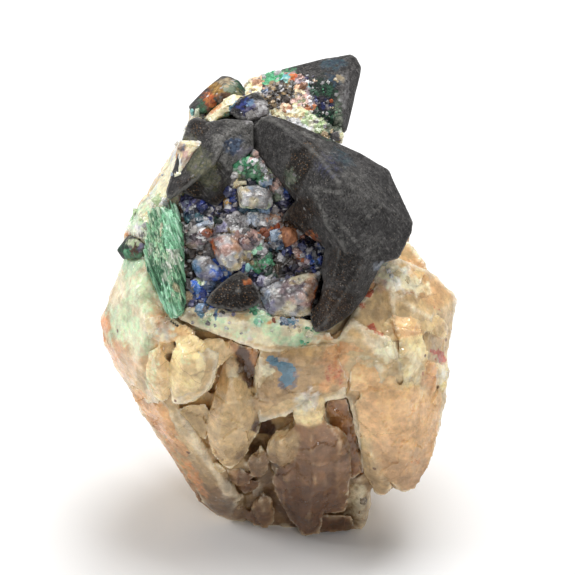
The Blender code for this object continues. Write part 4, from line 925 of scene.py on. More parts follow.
def shade(colours, marks):
    """Colours (n, 3) moved toward each mark's colour by its mask: a list of (mask, colour)."""
    for mask, tint in marks:
        colours = colours + np.clip(mask, 0.0, 1.0).reshape(-1, 1) * (np.array(tint) - colours)
    return colours


# Granular patches of other colours on the quartz: palette, strength, u, v, half width, half height, turn.
QUARTZ_PATCHES = turned([
    # The left flank, from the top down.
    ("ice", 0.9, -14.8, 23.6, 1.0, 1.4), ("white", 1.0, -15.9, 19.0, 0.8, 2.0, 20),
    ("steel", 0.5, -15.1, 21.8, 0.5, 0.6), ("cream", 0.8, -15.4, 20.2, 0.4, 0.7, 20),
    ("pink", 0.9, -13.9, 20.4, 1.0, 2.2, 28), ("white", 0.9, -13.2, 21.6, 0.7, 0.6),
    ("sugar", 0.6, -14.6, 18.8, 0.5, 1.0, 30), ("pale green", 0.9, -16.5, 19.0, 0.6, 0.8),
    ("ice", 0.9, -17.2, 16.8, 0.8, 0.9), ("white", 0.9, -16.2, 17.4, 0.6, 1.2, 20),
    ("pale green", 0.8, -18.2, 14.8, 1.0, 0.9), ("white", 0.9, -17.2, 14.2, 0.9, 1.2),
    ("pale fibre", 0.8, -16.6, 12.6, 0.8, 1.4), ("olive", 0.6, -20.2, 13.6, 0.5, 0.5),
    ("leaf", 0.7, -21.4, 11.8, 0.4, 0.5), ("mint", 0.8, -21.2, 12.6, 0.8, 0.6),
    ("pale green", 0.9, -20.2, 11.6, 1.0, 1.2), ("white", 0.9, -21.4, 10.4, 1.0, 0.8),
    ("ochre", 0.5, -20.2, 12.8, 0.3, 0.3), ("moss", 0.6, -19.8, 9.6, 0.5, 0.8),
    ("pale green", 0.8, -22.2, 9.4, 0.6, 0.5),
    # Below it, down to the left corner.
    ("mint", 0.8, -21.4, 5.7, 1.0, 0.8), ("pale green", 0.9, -22.6, 4.4, 1.2, 1.0),
    ("cream", 0.8, -20.6, 3.8, 0.8, 1.4), ("pink", 0.5, -19.7, 4.2, 0.3, 1.8, 20),
    ("sand", 0.6, -22.8, 2.0, 0.9, 0.6), ("pale green", 0.7, -20.8, 1.2, 1.2, 1.4),
    ("cream", 0.7, -23.2, 0.0, 1.4, 1.2), ("peach", 0.6, -19.0, -1.0, 0.7, 1.8),
    ("pale green", 0.7, -22.6, -3.2, 2.0, 1.4), ("cream", 0.7, -20.6, -2.6, 1.0, 1.6),
    ("moss", 0.35, -23.4, -5.6, 1.2, 1.2), ("pale green", 0.5, -20.8, -6.4, 1.4, 1.2),
    # The lip under the pocket.
    ("sand", 0.7, -13.6, -2.4, 1.0, 0.9), ("pale green", 0.8, -11.2, -3.0, 1.2, 0.7, -8),
    ("white", 0.8, -9.4, -2.8, 1.0, 0.6), ("cream", 0.9, -7.4, -4.0, 2.0, 0.7, -5),
    ("mint", 0.7, -4.2, -2.6, 1.1, 0.8), ("leaf", 0.4, -3.6, -3.6, 0.5, 0.4),
    ("pale green", 0.8, -2.2, -4.6, 1.4, 0.9), ("ice", 0.8, -1.0, -3.2, 0.8, 0.5),
    ("light blue", 0.6, 0.6, -3.4, 0.5, 0.8, 20), ("cream", 0.9, 0.8, -4.6, 1.4, 0.7),
    ("green", 0.5, 0.4, -6.0, 1.4, 0.35, 4), ("pale green", 0.8, 2.8, -4.6, 0.9, 1.0),
    ("grey", 0.5, -9.4, -4.4, 0.5, 0.5), ("white", 0.7, -5.6, -5.0, 1.2, 0.5),
    # Sugary crystals and pale grains elsewhere.
    ("chalk", 0.9, 13.2, 4.0, 1.5, 0.9, -20), ("pink", 0.5, 12.2, 2.4, 0.8, 0.8),
    ("cream", 0.8, 16.4, 3.2, 1.4, 0.7, -25), ("sand", 0.9, 9.7, -28.6, 0.9, 1.8),
    ("cream", 0.7, -3.2, -9.9, 0.7, 0.6), ("sugar", 0.6, -1.2, -9.2, 1.6, 0.8, -25),
    ("steel", 0.7, -0.2, -11.0, 0.8, 1.2), ("chalk", 1.0, 15.0, 3.0, 2.6, 1.4, -20),
    ("chalk", 1.0, 16.0, 3.4, 1.6, 0.8, -25), ("cream", 0.8, 21.2, -10.6, 0.4, 1.4, 5),
    ("cream", 0.6, 17.2, -8.8, 1.2, 2.0), ("cream", 0.7, 13.5, -6.6, 0.9, 1.2),
    # The chalk patch at (-18.0, -2.2) is painted light on a face turned from the lamps.
    ("chalk", 1.0, -18.0, -2.2, 1.4, 2.8), ("cream", 0.7, 21.0, -8.0, 0.5, 0.5),
    ("white", 0.6, 2.2, -14.2, 1.2, 0.9),
])


# Iron and copper stains all over the hidden side: clouds' size and seed, start, end, strength.
HIDDEN_STAINS = {"peach": (9.0, 501, -0.1, 0.5, 0.8), "rust": (4.0, 511, 0.35, 0.7, 0.6),
                 "mint": (5.0, 521, 0.3, 0.6, 0.8)}
# What roughens the body: the scoops' middle level, the ledges' share, and heights in millimetres.
SCOOP_LEVEL = 0.55
LEDGE_SHARE = 0.4
ROUGHNESS_HEIGHT = 0.06
CHIP_DEPTH = 0.45
# What roughens the front crystals, in millimetres, and the marks and stretch of their fluted faces.
FRONT_SWELL = 0.12
FRONT_LEDGE = 0.16
FRONT_SMALL_LEDGE = 0.05
FRONT_CHIP_DEPTH = 0.35
FLUTE_HEIGHT = 0.16
FLUTED = [(3.0, -24.0, 5.5, 9.0, 0, 1.0), (-18.0, -11.0, 2.5, 5.0, 5, 0.7)]
FLUTE_STRETCH = (1.0, 0.14, 0.3)


def quartz_marks(mesh, face, front, proud, settings, ground):
    """Stores the quartz's ground colour with painted shade in recesses and toward the foot and painted light
    on thin edges, its stains, and how proud or deep each place is.
    """
    masks = {name: marked(face, marks, seed=300 + 40 * order) * front
             for order, (name, marks) in enumerate(QUARTZ_MARKS.items())}
    for name, (size, seed, start, end, strength) in HIDDEN_STAINS.items():
        stain = (1.0 - front) * step_up(rough_clouds(face, size, seed), start, end)
        if name == "mint":
            stain *= step_up(face[:, 1], 4.0, 18.0)
        masks[name] = np.maximum(masks[name], stain * strength)
    # Painted light and shade: thin edges are lightened toward pale, recesses darkened toward brown, and the
    # front darkened toward the foot.
    thin = step_up(standing_proud(mesh, rounds=24), 0.0, 0.35)
    deep = step_up(-standing_proud(mesh, rounds=16), 0.05, 0.5)
    foot = step_up(-face[:, 1], 16.0, 32.0) * front
    shades = ((foot * 0.85, settings.painted_shade), (deep * 0.4, settings.recess_shade), (thin * 0.3, settings.pale))
    ground = shade(ground, shades)
    tints, cover = film(face, QUARTZ_PATCHES, grain=0.8, seed=401, stray=0.0, ragged=0.3, start=0.8)
    store_colour(mesh, shade(ground, ((cover * front, tints),)))
    store_masks(mesh, "stains", [masks[name] for name in ("mint", "blue", "rust", "cream")])
    store_masks(mesh, "tints", [masks[name] for name in ("red", "peach", "painted_shade", "dark")])
    # The first form mask is the painted highlight along proud edges, dimmed at the foot; the second marks
    # the foot.
    store_masks(mesh, "form", [step_up(proud, 0.03, 0.12) * (1.0 - foot * 0.5), foot])


def quartz_surface(mesh, settings):
    """Breaks the quartz's surface into scoops and small ledges, and stores its stains."""
    places, normals, face = surface_of(mesh)
    front = facing(normals, -0.15, 0.25)
    above_table = step_up(places[:, 2] / MM, 0.1, 1.2)
    proud = standing_proud(mesh, rounds=10)
    calm = 1.0 - 0.8 * front
    warped = face + clouds(face, cell=2.5, seed=3)[:, None] * 0.8
    bowls = scoops(warped, settings.scoop_width / MM, seed=31) - SCOOP_LEVEL
    lift = bowls * settings.scoop_depth / MM * calm
    steps = ledges(face, settings.ledge_width / MM, seed=47) * settings.ledge_height / MM
    lift += steps * LEDGE_SHARE * (0.3 + 0.7 * calm)
    lift += rough_clouds(face, cell=1.2, seed=60) * ROUGHNESS_HEIGHT
    chips = step_up(proud, 0.12, 0.5) * step_up(clouds(face, cell=0.9, seed=71), -0.2, 0.6)
    lift -= chips * CHIP_DEPTH
    put_places(mesh, pushed(places, normals, lift * above_table))
    ground = np.tile(np.array(settings.milky), (len(face), 1))
    quartz_marks(mesh, face, front, proud, settings, ground)


def front_crystals(settings):
    """The quartz crystals that show on the front."""
    heap = Heap()
    for tint, outline, ridge in FRONT_CRYSTALS.values():
        middle = [sum(values) / len(outline) for values in zip(*outline)]
        corners = outline + ridge + [(middle[0], middle[1], middle[2] - FRONT_DEPTH)]
        heap.add([on_face(*corner) for corner in corners], getattr(settings, tint)[:])
    hulls = heap.mesh("hulls")
    tree = tree_of(hulls)
    tints = colours_of(hulls)[[face.vertices[0] for face in hulls.polygons]]
    mesh = even_faces(hulls, "quartz_front", settings.front_grain)
    places, normals, face = surface_of(mesh)
    ground = averaged(tints[[tree.find_nearest(place)[2] for place in places]], neighbour_pairs(mesh), 4)
    front = facing(normals, -0.3, 0.1)
    proud = standing_proud(mesh, rounds=4)
    lift = rough_clouds(face, cell=2.0, seed=540) * FRONT_SWELL
    lift += ledges(face, cell=4.2, seed=547) * FRONT_LEDGE
    lift += ledges(face, cell=1.5, seed=549) * FRONT_SMALL_LEDGE
    chips = step_up(proud, 0.02, 0.12) * step_up(clouds(face, cell=0.8, seed=571), 0.0, 0.6)
    lift -= chips * FRONT_CHIP_DEPTH
    fluted = marked(face, FLUTED) * front
    lift += fluted * clouds(face * np.array(FLUTE_STRETCH), cell=0.7, seed=583) * FLUTE_HEIGHT
    places = pushed(places, normals, lift)
    places[:, 2] = np.maximum(places[:, 2], 0.0)
    put_places(mesh, places)
    quartz_marks(mesh, face, front, proud, settings, ground)
    return mesh


def quartz_material(settings):
    """Milky, waxy quartz with stains, painted shade, a painted highlight along proud edges, inner veils and
    fissures.
    """
    material, graph, shader = new_material(
        "milky quartz", Subsurface_Weight=0.4, Subsurface_Radius=(1.0, 0.66, 0.44), Subsurface_Scale=0.002,
        IOR=1.54, Coat_Roughness=0.04)
    place = graph.place()
    mint, blue, rust, cream = graph.masks("stains")
    red, peach, painted_shade, dark = graph.masks("tints")
    proud, foot = graph.masks("form")[:2]

    def stain(body, tint, mask, size, raggedness, softness):
        edged = graph.group("ragged", place, Mask=mask, Size=size, Raggedness=raggedness, Softness=softness)
        return graph.blend(edged, body, tint)

    body = stain(graph.painted(), settings.peach, peach, size=2.5, raggedness=0.5, softness=0.45)
    # Painted shade in recesses, gaps and toward the foot.
    body = stain(body, settings.painted_shade, painted_shade, size=2.0, raggedness=0.3, softness=0.5)
    body = stain(body, settings.cream, cream, size=1.2, raggedness=0.6, softness=0.4)
    # Painted highlight along the edges that stand proud.
    body = graph.blend(graph.math("MULTIPLY", proud, 0.6), body, settings.rim)
    body = stain(body, settings.rust, rust, size=0.9, raggedness=0.8, softness=0.4)
    patchy = graph.group("mottle", place, Size=0.9, Detail=4.0, Contrast=2.6)
    copper = graph.blend(patchy, settings.mint, settings.pale_mint)
    stained = graph.group("ragged", place, Mask=mint, Size=0.8, Raggedness=0.9, Softness=0.45)
    body = graph.blend(graph.math("MULTIPLY", stained, 0.8), body, copper)
    body = stain(body, settings.red, red, size=0.5, raggedness=0.8, softness=0.3)
    body = stain(body, settings.blue, blue, size=0.35, raggedness=0.7, softness=0.2)
    # Painted shadow in crevices and under ledges.
    body = stain(body, settings.dark, dark, size=0.5, raggedness=0.8, softness=0.2)
    cracks = graph.math("MULTIPLY", graph.group("fissures", place, Size=9.0, Width=0.012), 0.4)
    body = graph.blend(cracks, body, settings.crack)
    body = graph.blend(graph.group("specks", place, Size=0.9, Share=0.008), body, settings.speck)
    veils = graph.group("mottle", place, Size=3.2, Detail=4.0, Contrast=1.8)
    fine = graph.group("mottle", place, Size=0.7, Detail=4.0, Contrast=1.6)
    planes = graph.group("planes", place, Size=2.6)
    wisps = graph.group("streaks", place, Across=0.8, Along=5.0, Turn=0.2)
    frosted = graph.rise(graph.group("mottle", place, Size=1.6, Detail=9.0, Contrast=2.2), 0.3, 0.95)
    inner = graph.math("MULTIPLY_ADD", planes, 0.24, graph.math("MULTIPLY", wisps, 0.3))
    inner = graph.math("MULTIPLY_ADD", frosted, 0.26, inner)
    light = graph.math("MULTIPLY_ADD", veils, 0.5, graph.math("MULTIPLY_ADD", fine, 0.4, 0.25))
    body = graph.dimmed(body, graph.math("ADD", light, inner))
    rough = graph.math("MULTIPLY_ADD", fine, 0.3, 0.04)
    coat = graph.math("MULTIPLY_ADD", planes, 0.9, 0.1)
    coat = graph.math("MULTIPLY", coat, graph.math("MULTIPLY_ADD", foot, -0.8, 1.0))
    grit = graph.group("mottle", place, Size=0.25, Contrast=1.5)
    height = graph.math("MULTIPLY_ADD", veils, 2.0, graph.math("MULTIPLY_ADD", fine, 1.2, grit))
    feed(graph, shader, body, rough, height, depth_mm=0.06, coat=coat)
    return material


class SPECIMEN_OT_quartz(bpy.types.Operator):
    """The broken milky quartz that carries everything"""
    bl_idname = "specimen.quartz"
    bl_label = "Quartz"

    def execute(self, context):
        settings = context.scene.specimen.quartz
        mesh = fine_copy("quartz_matrix", settings.grain)
        quartz_surface(mesh, settings)
        material = quartz_material(settings)
        item = new_object("quartz_body", mesh, material)
        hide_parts("quartz_matrix")
        new_object("quartz_front", front_crystals(settings), material)
        return {"FINISHED"}


# Cuprite ---------------------------------------------------------------------------------------------

CUPRITE_NODES = ("cuprite_main", "cuprite_left", "cuprite_upper_left", "cuprite_back", "cuprite_ledge",
                 "cuprite_pocket", "cuprite_edge")
# Painted shade and painted light, where its faces are darker and lighter: u, v, half width, half height,
# turn in degrees, strength.
CUPRITE_SHADES = {
    "dark": [(1.6, 11.6, 2.0, 3.0, -30, 1.0), (0.9, 18.4, 1.3, 3.4, -18, 0.9),
        (5.4, -1.4, 3.0, 4.0, -15, 1.0), (-13.2, 15.6, 2.0, 1.7, 0, 1.0), (-7.6, 0.8, 4.4, 3.0, 0, 1.0),
        (7.4, 4.4, 2.4, 2.4, 0, 0.6), (-10.4, 17.4, 1.2, 2.6, 20, 0.8), (-10.2, 13.4, 1.6, 1.6, 0, 0.9),
        (3.0, 6.6, 1.6, 3.4, 15, 0.8), (-6.4, 27.6, 1.6, 1.4, 0, 0.8), (-12.6, 23.8, 1.6, 1.1, 0, 0.8),
        (1.8, 18.8, 1.8, 3.2, -30, 1.0)],
    "light": [(9.4, 15.2, 2.6, 3.0, 35, 0.3), (-9.6, 21.4, 1.2, 1.6, 30, 0.8),
        (2.6, 22.6, 1.8, 0.3, -25, 0.6), (8.0, 9.4, 0.3, 3.0, 40, 0.6), (11.8, 12.6, 0.3, 2.4, -50, 0.5),
        (-9.4, 19.4, 0.3, 3.0, 35, 0.8), (-7.6, 20.6, 2.6, 2.2, 30, 1.0), (-7.4, 23.2, 2.4, 1.4, 0, 0.5),
        (-12.8, 19.4, 1.6, 4.2, 35, 0.6), (11.0, 7.6, 1.6, 2.4, 0, 0.3), (5.0, 11.6, 0.35, 3.4, 25, 0.6),
        (5.2, 15.2, 3.0, 0.35, -8, 0.7), (4.4, 19.6, 1.4, 2.6, 35, 0.2)],
}
# Granular films of other minerals, and two of painted shadow: palette, strength, u, v, half width, half
# height, turn.
CUPRITE_FILMS = turned([
    # The upper left crystal.
    ("rust", 1.0, -11.2, 27.8, 0.6, 0.9), ("ochre", 1.0, -10.0, 29.2, 0.7, 0.7),
    ("orange", 0.9, -10.9, 28.3, 0.4, 0.5), ("moss", 0.9, -8.2, 29.4, 1.0, 0.6),
    ("deep green", 1.0, -10.4, 27.0, 0.7, 0.6), ("leaf", 0.7, -11.9, 26.6, 0.6, 0.8),
    ("olive", 0.9, -7.8, 28.6, 1.0, 0.8), ("deep green", 0.9, -6.6, 29.6, 0.9, 0.9),
    ("brown", 0.9, -9.2, 28.4, 0.8, 0.6), ("sand", 0.7, -9.0, 30.2, 0.8, 0.3),
    # The back crystal.
    ("deep green", 0.8, 4.8, 29.2, 1.4, 1.2), ("ink", 0.8, 4.4, 27.4, 1.2, 1.2),
    ("deep green", 0.9, 5.2, 25.4, 1.3, 1.4), ("moss", 0.7, 6.6, 26.0, 0.35, 2.6, -6),
    ("sugar", 0.35, 7.4, 28.4, 0.25, 2.6, -6), ("teal", 0.4, 6.0, 32.8, 1.2, 0.5, 10),
    ("green", 0.7, -0.8, 31.4, 1.2, 0.4, 10), ("teal", 0.5, 6.0, 30.6, 0.6, 0.6),
    ("leaf", 0.6, 5.8, 23.4, 0.8, 0.8), ("sand", 0.5, 6.8, 30.7, 0.5, 0.2),
    # The ledge crystal.
    ("navy", 0.8, -6.7, 26.9, 0.8, 0.6, 40), ("blue", 0.6, -6.0, 27.4, 0.5, 0.3, 20),
    ("violet", 0.6, -5.4, 26.4, 0.8, 0.5, 30), ("sugar", 1.0, -5.2, 25.7, 0.9, 0.7, 30),
    ("sugar", 0.9, -4.4, 26.6, 1.0, 0.9, 20), ("light blue", 0.6, -5.8, 27.2, 0.6, 0.3, 20),
    # The edge crystal.
    ("deep green", 0.9, -23.0, 7.2, 0.6, 0.8), ("lilac", 0.8, -20.5, 7.7, 0.5, 0.35),
    ("brown", 0.7, -21.6, 7.2, 1.2, 0.4, 50), ("leaf", 0.8, -21.6, 6.2, 0.9, 0.4),
    ("pale green", 0.8, -21.4, 7.9, 0.8, 0.4), ("green", 0.7, -22.4, 6.6, 0.5, 0.5),
    # The main, left and pocket crystals.
    ("steel", 0.8, -7.9, 21.4, 1.0, 0.7, 30), ("lilac", 0.3, -6.2, 20.4, 1.0, 0.7, 20),
    ("olive", 0.5, -12.6, 19.0, 1.4, 3.4, 35), ("navy", 0.2, 5.0, 18.6, 1.4, 1.0, -35),
    ("rust", 0.8, 3.2, 8.9, 0.6, 0.25, -20), ("orange", 0.5, -5.9, 2.6, 0.3, 0.2),
    ("moss", 0.5, 0.3, 17.0, 0.5, 0.9), ("brown", 0.12, 5.6, -0.4, 1.6, 2.4),
    ("shadow", 0.7, 1.2, 12.8, 1.2, 1.4, -30), ("ice", 0.4, 12.6, 4.9, 0.9, 0.3, 20),
    ("shadow", 0.5, -9.4, 13.4, 1.0, 1.4), ("teal", 0.25, 7.0, 19.6, 1.4, 0.5, -35),
])


# Where the foot draws back from the pocket; the pits' cells, share and depth, and the faces' unevenness in
# millimetres; how the growth terraces are stretched.
NOTCH = [(3.4, 1.4, 1.3, 2.6, -12, 1.0)]
PIT_CELL = 2.6
PIT_SHARE = 0.4
PIT_DEPTH = 0.12
CUPRITE_UNEVEN = 0.05
TERRACE_STRETCH = (1.0, 0.45, 1.0)


def cuprite_surface(mesh, settings):
    """Growth terraces, pits and chipped edges on a cuprite crystal, its films of other minerals, and masks
    for painted shade, painted light and a painted highlight along its ridges.
    """
    places, normals, face = surface_of(mesh)
    proud = standing_proud(mesh, rounds=6)
    front = facing(normals, -0.3, 0.1)
    lift = np.full(len(face), settings.swell / MM)
    lift += ledges(face * np.array(TERRACE_STRETCH), cell=1.6, seed=131, tilt=0.5) * settings.terrace / MM
    lift += rough_clouds(face, cell=2.4, seed=140) * CUPRITE_UNEVEN
    first, _, _, home = nearest_seeds(face, PIT_CELL, seed=150)
    lift -= (1.0 - step_up(first, 0.05, 0.11)) * (lattice(home, 155) < PIT_SHARE) * PIT_DEPTH
    chips = step_up(proud, 0.04, 0.16) * step_up(clouds(face, cell=0.6, seed=160), 0.1, 0.6)
    lift -= chips * settings.chip / MM
    lift -= marked(face, NOTCH, ragged=0.1) * settings.notch / MM
    put_places(mesh, pushed(places, normals, lift))
    tints, cover = film(face, CUPRITE_FILMS, grain=0.4, seed=601, stray=0.05, ragged=0.5, start=0.7)
    # The dark and light marks are painted shade and painted light on the faces.
    dark, light = (marked(face, CUPRITE_SHADES[name], seed=620 + 20 * order) * front
                   for order, name in enumerate(("dark", "light")))
    store_colour(mesh, tints)
    # The first form mask picks out the ridges for a painted highlight.
    store_masks(mesh, "form", [step_up(proud, 0.014, 0.06), cover * front, dark, light])


def cuprite_material(settings):
    """Grey-black tarnish with fine scratches, painted glints, painted shade in brown on its shaded faces
    with warm specks in it, painted light on its lit faces, a painted highlight along its ridges, and films.
    """
    material, graph, shader = new_material("tarnished cuprite", IOR=1.62, Specular_IOR_Level=0.12)
    place = graph.place()
    proud, cover, dark, light = graph.masks("form")
    broad = graph.group("mottle", place, Size=2.4, Detail=5.0, Contrast=2.2)
    fine = graph.group("mottle", place, Size=0.3, Detail=4.0, Contrast=3.0)
    lines = graph.group("streaks", place, Across=0.16, Along=2.6, Turn=0.6)
    body = graph.blend(broad, settings.black, settings.grey)
    # Painted shade on the shaded faces.
    body = graph.blend(graph.math("MULTIPLY", dark, 0.95), body, settings.brown)
    # Painted light on the lit faces.
    body = graph.blend(graph.math("MULTIPLY", light, 0.85), body, settings.tarnish_and_painted_light)
    body = graph.blend(graph.math("MULTIPLY", graph.rise(lines, 0.5, 0.72), 0.5), body, settings.tarnish_and_painted_light)
    patchy = graph.group("mottle", place, Size=0.9, Detail=5.0, Contrast=3.0)
    grainy = graph.math("MULTIPLY", graph.math("MULTIPLY_ADD", fine, 1.2, 0.4),
                        graph.math("MULTIPLY_ADD", patchy, 1.0, 0.5))
    body = graph.dimmed(body, grainy)
    # Painted highlight along the ridges that stand proud.
    body = graph.blend(graph.math("MULTIPLY", proud, 0.75), body, settings.edge)
    # Painted glints.
    body = graph.blend(graph.group("specks", place, Size=0.3, Share=0.07), body, settings.glitter)
    # Warm specks, set only inside the painted shade.
    warm = graph.math("MULTIPLY", graph.group("specks", place, Size=0.24, Share=0.24), dark)
    body = graph.blend(warm, body, settings.golden)
    body = graph.blend(cover, body, graph.painted())
    rough = graph.math("MULTIPLY_ADD", broad, 0.2, graph.math("MULTIPLY_ADD", fine, 0.3, 0.22))
    height = graph.math("ADD", graph.math("MULTIPLY", lines, 1.4), graph.math("ADD", fine, patchy))
    feed(graph, shader, body, rough, height, depth_mm=0.07)
    return material


class SPECIMEN_OT_cuprite(bpy.types.Operator):
    """The dark cuprite crystals"""
    bl_idname = "specimen.cuprite"
    bl_label = "Cuprite crystals"

    def execute(self, context):
        settings = context.scene.specimen.cuprite
        material = cuprite_material(settings)
        for node in CUPRITE_NODES:
            mesh = fine_copy(node, settings.grain)
            cuprite_surface(mesh, settings)
            item = new_object(f"{node}_crystal", mesh, material)
            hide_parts(node)
        return {"FINISHED"}


# Druse -----------------------------------------------------------------------------------------------

